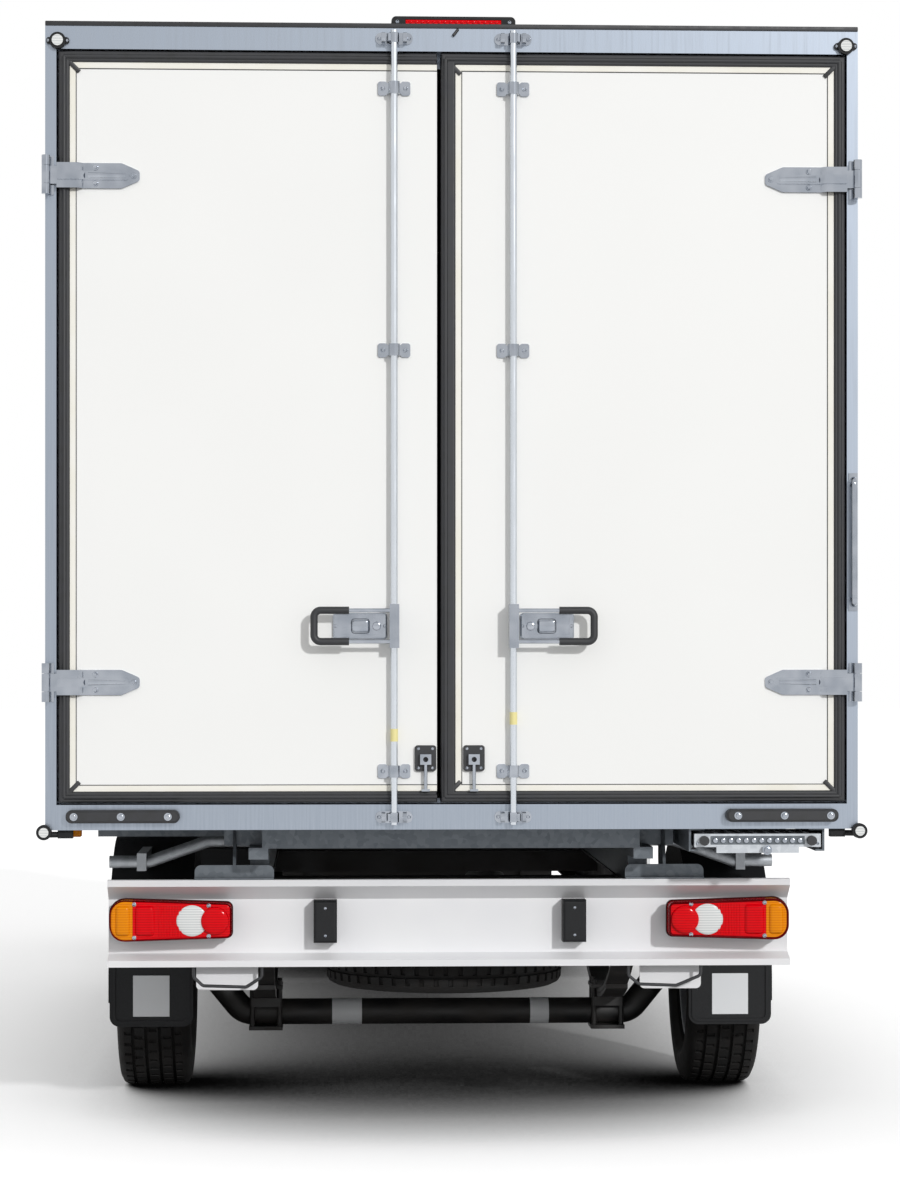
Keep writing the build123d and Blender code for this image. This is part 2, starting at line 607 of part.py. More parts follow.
def strap():
    """A right-hand hinge strap and its knuckle, at height zero."""
    drop_x = pin_x - strap_jog
    tip_x = pin_x - strap_length
    path = [(pin_x - 28, -20), (pin_x - 28, -14), (drop_x + 10, -14), (drop_x - 4, 0), (tip_x, 0),
            (tip_x, -3), (tip_x + 4, -6), (drop_x - 6.5, -6), (drop_x + 7.5, -20)]
    plate = along_z(outline([(x, rear_y + y) for x, y in path]), (-strap_height / 2, strap_height / 2))
    neck = block((pin_x - 34, pin_x), (rear_y - 20, rear_y - 14), (-strap_knuckle_half, strap_knuckle_half))
    knuckle_part = rod_z(hinge_knuckle_radius, pin_x, pin_y, (-strap_knuckle_half, strap_knuckle_half))
    rib_path = [(pin_x - 30, -18), (drop_x + 8, -18), (drop_x - 5, -5), (tip_x + 26, -5),
                (tip_x + 40, -6 - strap_rib), (drop_x - 12, -6 - strap_rib), (drop_x + 2, -27),
                (pin_x - 30, -27)]
    rib = along_z(outline([(x, rear_y + y) for x, y in rib_path]), (-12, 12))
    bore = rod_z(hinge_pin_radius + touch, pin_x, pin_y, (-60, 60))
    half, blunt = strap_height / 2, 13
    taper_x = tip_x + strap_taper
    profile = rounded([(pin_x, -half, 2), (pin_x, half, 2), (taper_x, half, 20), (tip_x, blunt, 10),
                       (tip_x, -blunt, 10), (taper_x, -half, 20)])
    plate &= along_y(profile, (rear_y - 40, rear_y + 1))
    rib_end = tip_x + 27
    rib &= along_y(rounded([(pin_x, -12, 2), (pin_x, 12, 2), (rib_end, 12, 11.5), (rib_end, -12, 11.5)]),
                   (rear_y - 40, rear_y + 1))
    return plate + rib + neck + knuckle_part - bore


def lock_gear():
    """The right-hand lock rod with its guides, cams and handle, as one piece."""
    rod_y_place = rear_y - lock_rod_back
    gear = rod_z(lock_rod_radius, lock_rod_x, rod_y_place, (sill_mid_z - 20, header_z + 20))
    for z in (sill_mid_z, header_z):
        gear += rod_z(13, lock_rod_x, rod_y_place, (z - 13, z + 13))
        gear += rod_z(7, lock_rod_x + 13, rod_y_place - 3, (z - 10, z + 10))
    for z in guide_heights:
        for x in (lock_rod_x - 31, lock_rod_x + 31):
            gear += along_y(plate_face((x - 13, x + 13), (z - 19, z + 19), 7), (rear_y - 5, rear_y))
        gear += block((lock_rod_x - 19, lock_rod_x + 19), (rear_y - 9, rear_y), (z - 14, z + 14))
        gear += rod_z(15, lock_rod_x, rod_y_place, (z - 16, z + 16))
        gear += block((lock_rod_x - 15, lock_rod_x + 15), (rod_y_place, rear_y - 4), (z - 16, z + 16))
    # Pressed base that the handle folds over, with a sunk panel and a raised cross
    base_x, base_half = (lock_rod_x + 19, lock_rod_x + 165), 36.0
    base_face = plate_face(base_x, (handle_z - base_half, handle_z + base_half), 9)
    base = along_y(base_face, (rear_y - 12, rear_y))
    base = chamfer(base.edges().group_by(Axis.Y)[0], 4)
    base -= along_y(offset(base_face, amount=-13), (rear_y - 13, rear_y - 5))
    middle_x = (base_x[0] + base_x[1]) / 2
    base += block((base_x[0] + 8, base_x[1] - 8), (rear_y - 11, rear_y - 4), (handle_z - 6, handle_z + 6))
    base += block((middle_x - 16, middle_x + 16), (rear_y - 11, rear_y - 4), (handle_z - 28, handle_z + 28))
    gear += base
    # U-shaped handle on a hub, with a rubber grip round its outer end
    handle_y = rear_y - fitting_depth + grip_radius
    reach = lock_rod_x + handle_length - grip_radius
    gear += block((lock_rod_x - 13, lock_rod_x + 13), (handle_y - 7, rod_y_place + 4),
                  (handle_z - 59, handle_z + 59))
    for z in (handle_z - handle_half, handle_z + handle_half):
        gear += rod_x(handle_arm_radius, (lock_rod_x, lock_rod_x + grip_start + 4), handle_y, z)
    grip = [(lock_rod_x + grip_start, handle_half), (reach, handle_half), (reach, -handle_half),
            (lock_rod_x + grip_start, -handle_half)]
    return gear + tube([(x, handle_y, handle_z + z) for x, z in grip], grip_radius, 18)


def retainer(x):
    """The hold-back plate near a door's lower meeting corner."""
    plate = along_y(plate_face((x - 29, x + 29), (1018, 1088), 8), (rear_y - 8, rear_y))
    clip = block((x - 15, x + 15), (rear_y - 22, rear_y - 7), (1036, 1064))
    clip -= rod_y(7, x, (rear_y - 30, rear_y - 8), 1050)
    pin = rod_z(5, x, rear_y - 15, (968, 1037))
    pin_foot = block((x - 11, x + 11), (rear_y - 20, rear_y - 10), (964, 970))
    return plate + clip + pin + pin_foot


gear = lock_gear()
right_straps = [Pos(0, 0, z) * strap() for z in hinge_heights]
add("rear_door_right", block((meeting_x[1], seal_in), door_y, door_z))
add("rear_door_left", block((-seal_in, left_edge_x), door_y, door_z))
add("rear_door_right_seal", seal_ring(meeting_x[1], meeting_x[0], True))
add("rear_door_left_seal", mirrored(seal_ring(-left_edge_x, 0, False)))
add("rear_door_right_fittings", gear, *right_straps, retainer(55))
add("rear_door_left_fittings", mirrored(gear), *[mirrored(s) for s in right_straps], retainer(-76))

# Light bar: pressed tray with lips, and the plates that bolt it to the rails
tray_rows = [  # (ahead of the rear lip, above the lower edge)
    (0, 0), (0, 18), (bar_depth, 34), (bar_depth, 184), (0, 223), (0, bar_height),
    (30, bar_height), (30, bar_height - bar_sheet), (bar_sheet, bar_height - bar_sheet),
    (bar_sheet, 226), (bar_depth + bar_sheet, 187), (bar_depth + bar_sheet, 30),
    (bar_sheet, 14), (bar_sheet, bar_sheet), (30, bar_sheet), (30, 0),
]
bar_face = outline([(bar_y + y, bar_bottom_z + z) for y, z in tray_rows])
bar = along_x(bar_face, (-bar_half_width, bar_half_width))
for x in (-620, 620):
    foot = rounded([(x - 86, 397, 14), (x + 86, 397, 14), (x + 86, 640, 4), (x - 86, 640, 4)])
    bar += along_y(foot, (bar_web_y + bar_sheet - 1, rail_rear_y))
add("light_bar", bar)

# Leads that hang in loops under the bar between their clips
cable_radius = 4.5
cable_y = bar_y + 15
clip_z = bar_bottom_z - touch
cables = []
for start, low, low2, end in ((-711, -686, -566, -522), (498, 528, 632, 700)):
    route = [(start, clip_z), (start, 438), (low, 414), (low2, 410), (end, 438), (end, clip_z)]
    cables.append(tube([(x, cable_y, z) for x, z in route], cable_radius, 14))
add("lamp_cables", *cables)


# Rear lamps on the light bar
def lamp_face(inset):
    far, near = lamp_outer_x - inset, lamp_outer_x - lamp_length + inset
    tall, short = lamp_height / 2 - inset, lamp_height / 2 - 11 - inset
    return rounded([(far, lamp_z - tall, 46 - inset), (far, lamp_z + tall, 46 - inset),
                    (near, lamp_z + short, 18 - inset), (near, lamp_z - short, 18 - inset)])


lamp_split_y = bar_web_y - 48
lamp_back_y = bar_web_y - lamp_depth
housing = along_y(lamp_face(0), (lamp_split_y, lamp_split_y + 8))
housing += along_y(lamp_face(13), (lamp_split_y + 7, bar_web_y))
lens = along_y(lamp_face(4), (lamp_back_y, lamp_split_y))
lens = fillet(lens.edges().group_by(Axis.Y)[0], 9)
amber_x = lamp_outer_x - 67
clear_disc_x, clear_disc_radius = 714.0, 43.0
red_disc_x, red_disc_radius = 651.0, 38.0
reach_y = (lamp_back_y - 5, lamp_split_y + 5)
amber = lens & block((amber_x, lamp_outer_x), reach_y, (lamp_z - 100, lamp_z + 100))
red = lens - block((amber_x - touch, lamp_outer_x), reach_y, (lamp_z - 100, lamp_z + 100))
red -= rod_y(clear_disc_radius + touch, clear_disc_x, reach_y, lamp_z)
red -= rod_y(red_disc_radius + touch, red_disc_x, reach_y, lamp_z)
clear = lens & rod_y(clear_disc_radius, clear_disc_x, reach_y, lamp_z)
clear -= rod_y(red_disc_radius + touch, red_disc_x, reach_y, lamp_z)
inner_red = lens & rod_y(red_disc_radius, red_disc_x, reach_y, lamp_z)
plate_lamp = block((314, 379), (bar_web_y - 62, bar_web_y), (533, 650))
plate_lamp = fillet(plate_lamp.edges().group_by(Axis.Y)[0], 8)
add("rear_lamp_bodies", *pair(housing), *pair(plate_lamp))
add("tail_lamp_lenses", *pair(red), *pair(inner_red), *pair(amber), *pair(clear))

# Rear mudguards with their flaps, and the tubes that carry them
guard_radius = 425.0
guard_x = (742.0, 990.0)
guard_sheet = 5.0
flap_bottom_z = 227.0
guard_rear_y = rear_axle_y - guard_radius


def guard_face(radius):
    """Arch over the tyre in (y, z), straight down at the rear."""
    front = (rear_axle_y + radius * math.cos(math.radians(20)), axle_z + radius * math.sin(math.radians(20)))
    top = (rear_axle_y, axle_z + radius)
    back = (rear_axle_y - radius, axle_z)
    crest = (rear_axle_y - radius * math.cos(math.radians(45)), axle_z + radius * math.sin(math.radians(45)))
    rise = (rear_axle_y + radius * math.cos(math.radians(55)), axle_z + radius * math.sin(math.radians(55)))
    return front, rise, top, crest, back


front, rise, top, crest, back = guard_face(guard_radius)
front2, rise2, top2, crest2, back2 = guard_face(guard_radius - guard_sheet)
foot = (back[0], flap_bottom_z + 70)
foot2 = (back2[0], flap_bottom_z + 70)
arch = make_face([ThreePointArc(front, rise, top), ThreePointArc(top, crest, back),
                  Line(back, foot), Line(foot, foot2),
                  Line(foot2, back2), ThreePointArc(back2, crest2, top2), ThreePointArc(top2, rise2, front2),
                  Line(front2, front)])
guard = along_x(arch, guard_x)
flap_x = (739.0, 986.0)
flap_face = rounded([(flap_x[0], flap_bottom_z, 30), (flap_x[1], flap_bottom_z, 30),
                     (flap_x[1], 470, 10), (flap_x[0], 470, 10)])
flap = along_y(flap_face, (guard_rear_y - 7, guard_rear_y + 1))
border = along_y(offset(flap_face, amount=-9), (guard_rear_y - 11, guard_rear_y - 6))
border -= along_y(offset(flap_face, amount=-17), (guard_rear_y - 12, guard_rear_y - 7))
add("rear_mudguards", *pair(guard + flap + border))

tube_y = guard_rear_y - 22
tube_z = (718.0, 780.0)      # outer run, and where it meets the body bearer
tube_radius = 18.0
clamp_x = (875.0, 903.0)
carrier = tube([(985, tube_y, tube_z[0]), (868, tube_y, tube_z[0]), (690, tube_y, tube_z[1]),
                (rail_x + 27, tube_y, tube_z[1])], tube_radius, 60)
carrier += block(clamp_x, (tube_y - 24, guard_rear_y + 320), (tube_z[0] - 26, tube_z[0] + 26))
guard_space = along_x(make_face([ThreePointArc(top, crest, back), Line(back, (rear_axle_y, axle_z)),
                                 Line((rear_axle_y, axle_z), top)]), (700, 1000))
carrier -= guard_space
add("mudguard_tubes", *pair(carrier))

# Cab form: side section swept round a wide bow, trimmed by a front section and a plan
bow_y = nose_y - cab_bow_radius
cab_side_rows = [  # (ahead of the front axle, height, corner radius)
    (-1510, 380, 20), (-1510, 2250, 20), (-600, 2250, 330), (135, 1335, 110),
    (600, 1085, 240), (800, 870, 260), (850, 560, 240), (800, 290, 70),
]
cab_front_rows = [  # (half width, height, corner radius)
    (960, 250, 20), (cab_half_width, 620, 300), (cab_half_width - 3, 1180, 800), (845, 2262, 150),
]
cab_side_face = rounded([(front_axle_y + y, z, r) for y, z, r in cab_side_rows])
cab_front_face = rounded([*cab_front_rows, *[(-x, z, r) for x, z, r in reversed(cab_front_rows)]])
plan_half = cab_half_width + 4
plan_front_y = bow_y + math.sqrt((cab_bow_radius + 3) ** 2 - plan_half ** 2)
cab_plan_face = make_face([
    ThreePointArc((-plan_half, plan_front_y), (0, nose_y + 3), (plan_half, plan_front_y)),
    Polyline((plan_half, plan_front_y), (plan_half, cab_rear_y - 300),
             (-plan_half, cab_rear_y - 300), (-plan_half, plan_front_y)),
])
cab_plan_face = fillet(cab_plan_face.vertices().group_by(Axis.Y)[-1], 300)
bow_axis = Axis((0, bow_y, 0), (0, 0, 1))
bow_half_angle = 29.0


def inset_face(face, inset):
    return offset(face, amount=-inset, kind=Kind.INTERSECTION) if inset else face


def cab_form(inset):
    """The cab's outer form, drawn in by an inset on every side."""
    side = Plane.YZ * inset_face(cab_side_face, inset)
    swept = revolve(side, axis=bow_axis, revolution_arc=2 * bow_half_angle).rotate(bow_axis, -bow_half_angle)
    front = along_y(inset_face(cab_front_face, inset), (cab_rear_y + inset, nose_y + 50))
    plan = along_z(inset_face(cab_plan_face, inset), (200, 2400))
    return swept & front & plan


def ahead(points):
    """Side-view points given ahead of the front axle."""
    return [(front_axle_y + y, z) for y, z in points]


cab_outer = cab_form(0)
cab_cavity = cab_form(cab_wall)
under = along_z(inset_face(cab_plan_face, cab_wall + 12), (200, 640))
under &= block((-880, 880), (cab_rear_y + cab_wall + 12, nose_y), (200, 640))
cab_cavity += under
shell = cab_outer - cab_cavity
for x in (-1, 1):
    shell -= rod_x(arch_radius, sorted((x * arch_inner_x, x * 1100)), front_axle_y, axle_z)

# Openings, each as a prism, and the panels that fill them
door_face = outline(ahead([(-1040, 470), (-1040, 2010), (-640, 2010), (-310, 1590), (-310, 860),
                           (-445, 650), (-445, 470)]), 36)
window_face = outline(ahead([(-975, 1300), (-975, 1945), (-672, 1945), (-378, 1571), (-378, 1300)]), 40)
door_leaf_face = offset(door_face, amount=-swing_gap)
side_reach = (690.0, 1100.0)
door_opening = along_x(door_face, side_reach)
door_panel = shell & along_x(door_leaf_face, side_reach)
door_panel -= along_x(window_face, side_reach)
glass_band = cab_form(20) - cab_form(20 + glass)
door_glass = glass_band & along_x(offset(window_face, amount=-touch), side_reach)

screen_face = outline([(-885, 1360), (-745, 2125), (745, 2125), (885, 1360)], 70)
screen_y = (front_axle_y - 760, nose_y)
screen_band = cab_form(6) - cab_form(6 + glass)
windscreen = screen_band & along_y(offset(screen_face, amount=-touch), screen_y)
screen_opening = along_y(screen_face, screen_y)

lid_thickness = 26.0
lid_rear_radius = cab_bow_radius - front_overhang + 175
lid_front_radius = lid_rear_radius + 525


def lid_plan(grow):
    """Bonnet outline in plan, between two arcs about the bow axis."""
    rear, front = lid_rear_radius + grow, lid_front_radius - grow
    wide, narrow = 750 - 1.3 * grow, 680 - 1.3 * grow
    rear_side = bow_y + math.sqrt(rear ** 2 - wide ** 2)
    front_side = bow_y + math.sqrt(front ** 2 - narrow ** 2)
    return make_face([
        ThreePointArc((-wide, rear_side), (0, bow_y + rear), (wide, rear_side)),
        Line((wide, rear_side), (narrow, front_side)),
        ThreePointArc((narrow, front_side), (0, bow_y + front), (-narrow, front_side)),
        Line((-narrow, front_side), (-wide, rear_side)),
    ])


lid_opening = along_z(lid_plan(0), (900, 1500))
bonnet = (cab_outer - cab_form(lid_thickness)) & along_z(lid_plan(swing_gap), (900, 1500))

nose_reach = (front_axle_y + 430, nose_y + 60)
grille_face = outline([(-500, 735), (500, 735), (470, 905), (-470, 905)], 24)
grille_opening = along_y(grille_face, nose_reach)
grille = (cab_form(10) - cab_form(40)) & along_y(offset(grille_face, amount=-touch), nose_reach)
for z in (752, 789, 826, 863):
    grille -= block((-440, 440), nose_reach, (z, z + 24))
lamp_corners = outline([(570, 765), (900, 800), (925, 985), (650, 935)], 22)
headlamp_opening = along_y(lamp_corners, nose_reach)
headlamp = (cab_outer - cab_form(45)) & along_y(offset(lamp_corners, amount=-touch), nose_reach)

shell = shell - screen_opening - lid_opening - grille_opening
for opening in (door_opening, headlamp_opening):
    shell = shell - opening - mirrored(opening)

# Door hinges: a knuckle on the door below, one on the body above it
cab_hinge_x = cab_half_width + 2
cab_hinge_y = front_axle_y - 310 - swing_gap / 2
cab_knuckle_radius = 10.0
for z in (940.0, 1160.0):
    low, high = (z - 24, z), (z + touch, z + 24)
    door_panel += rod_z(cab_knuckle_radius, cab_hinge_x, cab_hinge_y, low)
    door_panel -= rod_z(cab_knuckle_radius + 6, cab_hinge_x, cab_hinge_y, (z + touch / 2, z + 30))
    for x in (-cab_hinge_x, cab_hinge_x):
        shell -= rod_z(cab_knuckle_radius + 6, x, cab_hinge_y, (z - 30, z + touch / 2))
        shell += rod_z(cab_knuckle_radius, x, cab_hinge_y, high)

# Bonnet hinges on the lid's rear edge
lid_hinge_x = 670.0
lid_gap_radius = lid_rear_radius + swing_gap / 2
lid_hinge_y = bow_y + math.sqrt(lid_gap_radius ** 2 - lid_hinge_x ** 2)
lid_slope = (1335 - 1085) / (600 - 135)
lid_hinge_z = 1335 - (lid_gap_radius - cab_bow_radius + front_overhang - 135) * lid_slope
lid_knuckle_radius = 9.0
for side in (-1, 1):
    middle = side * lid_hinge_x
    lid_run = sorted((middle, middle - side * 24))
    body_run = sorted((middle + side * touch, middle + side * 24))
    lid_clear = sorted((middle + side * touch / 2, middle - side * 30))
    body_clear = sorted((middle + side * touch / 2, middle + side * 30))
    bonnet += rod_x(lid_knuckle_radius, lid_run, lid_hinge_y, lid_hinge_z)
    bonnet -= rod_x(lid_knuckle_radius + 6, body_clear, lid_hinge_y, lid_hinge_z)
    shell -= rod_x(lid_knuckle_radius + 6, lid_clear, lid_hinge_y, lid_hinge_z)
    shell += rod_x(lid_knuckle_radius, body_run, lid_hinge_y, lid_hinge_z)

# The shell parts along its panel joints
roof_joint_z = 2060.0
bumper_joint_z = 715.0
wide_x, tall_z = (-1200, 1200), (0, 2500)
behind = (cab_rear_y - 10, cab_rear_y + cab_wall)
roof = shell & block(wide_x, (cab_rear_y - 10, nose_y + 100), (roof_joint_z, 2500))
rear_wall = shell & block(wide_x, behind, (0, roof_joint_z))
rear_wall -= block((-900, 900), behind, (0, 556))
rest = shell & block(wide_x, (cab_rear_y + cab_wall, nose_y + 100), (0, roof_joint_z))
bumper_space = block(wide_x, (front_axle_y + 330, nose_y + 100), (0, bumper_joint_z))
bumper = rest & bumper_space
rest -= bumper_space
for z in (395, 435, 475):
    bumper -= block((-330, 330), nose_reach, (z, z + 24))
bumper -= rod_y(34, tow_eye_x, nose_reach, tow_eye_z)
cab_side = rest & block((700, 1200), (cab_rear_y, nose_y + 100), tall_z)
cowl = rest & block((-700, 700), (cab_rear_y, front_axle_y + 400), (1000, 2500))
nose_panel = rest & block((-700, 700), (front_axle_y + 400, nose_y + 100), tall_z)
add("cab_roof", roof)
add("cab_rear_wall", rear_wall)
add("front_bumper", bumper + nose_panel)
add("cab_sides", *pair(cab_side))
add("grille", grille)
add("headlamps", *pair(headlamp))
add("windscreen", windscreen)
add("bonnet", bonnet)
add("cab_door_right", door_panel)
add("cab_door_left", mirrored(door_panel))
add("cab_door_right_glass", door_glass)
add("cab_door_left_glass", mirrored(door_glass))

# Mirrors on the doors
head = block((1105, 1235), (front_axle_y - 395, front_axle_y - 325), (1180, 1520))
head = fillet(head.edges(), 24)
for z in (1255, 1425):
    head += block((930, 1120), (front_axle_y - 362, front_axle_y - 334), (z, z + 26))
mirror_right = head - cab_outer
add("mirror_right", mirror_right)
add("mirror_left", mirrored(mirror_right))

# Cab floor with toe board, bulkhead and cowl
floor_rear = cab_rear_y + cab_wall - front_axle_y
floor_rows = ahead([(floor_rear, low_rail_z[1]), (-455, low_rail_z[1]), (-345, 780), (-345, 1160), (-330, 1190),
                    (-375, 1190), (-375, 790), (-472, cab_floor_z), (floor_rear, cab_floor_z)])
cab_base = along_x(outline(floor_rows), (-934, 934))
shelf_rows = ahead([(-375, 1160), (-345, 1150), (120, 1225), (120, 1262), (-375, 1190)])
cab_base += along_x(outline(shelf_rows), (-690, 690))
cab_base += cowl
add("cab_floor", cab_base)

# Wheel-arch liners over the front wheels
liner = rod_x(arch_radius + 6, (742, 944), front_axle_y, axle_z)
liner -= rod_x(arch_radius, (700, 1000), front_axle_y, axle_z)
liner = liner & block((742, 944), (front_axle_y - 500, front_axle_y + 500), (430, 800))
liner = liner - cab_side - bumper
add("arch_liners", *pair(liner))

# Strut towers on the front rails
tower = block((440, 490), (front_axle_y - 80, front_axle_y + 80), (low_rail_z[1], 850))
tower += block((440, 745), (front_axle_y - 80, front_axle_y + 80), (832, 850))
tower -= Pos(*steer_low) * Rot(0, -lean, 0) * Cylinder(24 + 2 * touch, 2 * steer_length)
tower &= block((0, 900), (0, nose_y), (low_rail_z[1], 900))
add("front_suspension", cradle, *pair(tower))

# Cab interior: dashboard, steering wheel, seats
dash_front = -375 - touch
dash_rows = ahead([(dash_front, 820), (-470, 840), (-550, 940), (-575, 1090), (-535, 1180), (-450, 1222),
                   (dash_front, 1232)])
dash = along_x(outline(dash_rows), (-920, 920))
add("dashboard", dash)
driver_x = -480.0
wheel_lean = 38.0
wheel_centre = (driver_x, front_axle_y - 680, 1135)
steering = Torus(185, 15) + Cylinder(42, 44)
for angle in (0, 125, 235):
    steering += Rot(0, 0, angle + 90) * block((30, 185), (-16, 16), (-9, 5))
steering += Pos(0, 0, -105) * Cylinder(30, 200)
steering = Pos(*wheel_centre) * Rot(wheel_lean, 0, 0) * steering - dash
add("steering_wheel", steering.solids().sort_by(SortBy.VOLUME)[-1])

seats = []
for x in ((driver_x - 235, driver_x + 235), (20.0, 850.0)):
    base = block((x[0] + 40, x[1] - 40), (front_axle_y - 1050, front_axle_y - 640), (cab_floor_z, 830))
    cushion = block(x, (front_axle_y - 1060, front_axle_y - 615), (830 + touch, 965))
    back_rest = block(x, (front_axle_y - 1148, front_axle_y - 1060 - touch), (880, 1560))
    places = 1 if x[1] < 0 else 2
    parts_here = [base, fillet(cushion.edges(), 34), fillet(back_rest.edges(), 34)]
    for number in range(places):
        middle = x[0] + (x[1] - x[0]) * (number + 0.5) / places
        rest_y = (front_axle_y - 1142, front_axle_y - 1062)
        rest_pad = block((middle - 125, middle + 125), rest_y, (1600, 1760))
        posts = rod_z(7, middle - 60, front_axle_y - 1102, (1560 + touch, 1660))
        posts += rod_z(7, middle + 60, front_axle_y - 1102, (1560 + touch, 1660))
        parts_here.append(fillet(rest_pad.edges(), 30) + posts)
    seats += parts_here
add("seats", *seats)

# One file for each piece
os.makedirs("parts", exist_ok=True)
for name, solids in nodes.items():
    export_step(solids[0] if len(solids) == 1 else Compound(solids), f"parts/{name}.step")
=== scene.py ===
import math

import bmesh
import bpy
from mathutils import Matrix, Vector


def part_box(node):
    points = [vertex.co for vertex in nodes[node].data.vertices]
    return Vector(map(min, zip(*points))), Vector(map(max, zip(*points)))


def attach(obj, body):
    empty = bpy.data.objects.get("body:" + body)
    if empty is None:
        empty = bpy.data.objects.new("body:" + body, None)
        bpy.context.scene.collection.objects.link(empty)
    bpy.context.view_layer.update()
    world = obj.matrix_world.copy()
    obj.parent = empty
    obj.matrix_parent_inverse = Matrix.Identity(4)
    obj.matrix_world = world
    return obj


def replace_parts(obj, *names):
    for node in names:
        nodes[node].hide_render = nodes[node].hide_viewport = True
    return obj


# Insulated box truck, seen from behind. Metres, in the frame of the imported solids.
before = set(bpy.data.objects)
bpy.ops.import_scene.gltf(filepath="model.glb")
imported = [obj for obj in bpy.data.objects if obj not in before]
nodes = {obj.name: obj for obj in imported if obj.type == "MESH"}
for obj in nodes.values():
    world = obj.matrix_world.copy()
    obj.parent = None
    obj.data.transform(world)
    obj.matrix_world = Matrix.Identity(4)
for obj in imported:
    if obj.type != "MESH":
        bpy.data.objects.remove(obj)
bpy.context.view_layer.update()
mm = 0.001

# Places read from the solids
portal_low, portal_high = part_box("rear_frame")
rear_y = portal_low.y
box_half = portal_high.x
box_top_z = portal_high.z
door_boxes = {"left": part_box("rear_door_left"), "right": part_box("rear_door_right")}
seal_boxes = {"left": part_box("rear_door_left_seal"), "right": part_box("rear_door_right_seal")}
lens_low, lens_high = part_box("tail_lamp_lenses")
wheel_corners = ("front_left", "front_right", "rear_left", "rear_right")
tyre_places = {place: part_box(f"tyre_{place}") for place in wheel_corners}
spare_low, spare_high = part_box("spare_wheel")
sides = {"left": -1, "right": 1}


# Finishes
def linear(hex_colour):
    """An sRGB hex colour as linear red, green and blue with full opacity."""
    parts = [int(hex_colour[i:i + 2], 16) / 255 for i in (0, 2, 4)]
    return (*[c / 12.92 if c <= 0.04045 else ((c + 0.055) / 1.055) ** 2.4 for c in parts], 1.0)


def put(tree, kind, values=None, links=None, **settings):
    """Adds a node with its settings, its inputs' values and the sockets linked to its inputs."""
    added = tree.nodes.new(kind)
    for name, value in settings.items():
        setattr(added, name, value)
    for name, value in (values or {}).items():
        added.inputs[name].default_value = value
    for name, socket in (links or {}).items():
        tree.links.new(socket, added.inputs[name])
    return added


def coat(name, colour, roughness, **inputs):
    """A material with one shader. Returns the material, its tree and its shader."""
    made = bpy.data.materials.new(name)
    made.use_nodes = True
    tree = made.node_tree
    tree.nodes.clear()
    values = {"Base Color": linear(colour), "Roughness": roughness}
    values.update({key.replace("_", " "): value for key, value in inputs.items()})
    shader = put(tree, "ShaderNodeBsdfPrincipled", values)
    put(tree, "ShaderNodeOutputMaterial", links={"Surface": shader.outputs["BSDF"]})
    return made, tree, shader


def blotches(tree, width, drawn_out=(1, 1, 1), detail=3.0):
    """Noise about width metres across on object coordinates, drawn out along the larger numbers."""
    place = put(tree, "ShaderNodeTexCoord")
    scale = [1 / (width * draw) for draw in drawn_out]
    turned = put(tree, "ShaderNodeMapping", {"Scale": scale}, {"Vector": place.outputs["Object"]})
    return put(tree, "ShaderNodeTexNoise", {"Scale": 1.0, "Detail": detail},
               {"Vector": turned.outputs["Vector"]})


noise_range, colour_stops, bump_strength = (0.3, 0.7), (0.32, 0.68), 0.6


def vary(tree, shader, noise, roughness=None, colours=None, relief=None):
    """Lets a noise move the shader's roughness, colour and surface relief between two ends."""
    if roughness:
        ends = {"From Min": noise_range[0], "From Max": noise_range[1], "To Min": roughness[0],
                "To Max": roughness[1]}
        spread = put(tree, "ShaderNodeMapRange", ends, {"Value": noise.outputs["Fac"]})
        tree.links.new(spread.outputs["Result"], shader.inputs["Roughness"])
    if colours:
        ramp = put(tree, "ShaderNodeValToRGB", links={"Fac": noise.outputs["Fac"]})
        for stop, place, colour in zip(ramp.color_ramp.elements, colour_stops, colours):
            stop.position = place
            stop.color = linear(colour)
        tree.links.new(ramp.outputs["Color"], shader.inputs["Base Color"])
    if relief:
        bump = put(tree, "ShaderNodeBump", {"Strength": bump_strength, "Distance": relief},
                   {"Height": noise.outputs["Fac"]})
        tree.links.new(bump.outputs["Normal"], shader.inputs["Normal"])


def moulded_gelcoat():
    # White gelcoat on a flat glass-fibre panel: even and bright, with a soft, slightly uneven gloss.
    made, tree, shader = coat("moulded_white_gelcoat", "F3F3F0", 0.34, IOR=1.5)
    vary(tree, shader, blotches(tree, 420 * mm, detail=1.0), (0.3, 0.36), ("F4F4F2", "F2F2F0"))
    return made


def brushed_stainless():
    # Stainless sheet brushed up and down: grey with long fine streaks and a broad, blurred reflection.
    # Real brush lines are finer than a pixel, so they are drawn about 6 mm wide.
    made, tree, shader = coat("brushed_stainless", "949CA7", 0.34, Metallic=1.0)
    vary(tree, shader, blotches(tree, 6 * mm, (1, 1, 30)), (0.28, 0.4), ("9AA2AD", "8E96A1"))
    return made


def zinc_plate():
    # Pressed steel with bright zinc plating: pale metal with small cloudy patches.
    made, tree, shader = coat("bright_zinc_plate", "A0A5AD", 0.14, Metallic=1.0)
    vary(tree, shader, blotches(tree, 40 * mm, detail=1.0), (0.1, 0.18), ("AAAFB7", "969CA5"))
    return made


def polished_rod():
    # Drawn steel rod, polished and plated: brighter than the pressed fittings, with a thin smooth shine.
    # Its drawing lines are shown 8 mm wide.
    made, tree, shader = coat("polished_drawn_rod", "CCD1D7", 0.2, Metallic=1.0)
    vary(tree, shader, blotches(tree, 8 * mm, (1, 1, 12)), (0.16, 0.26))
    return made


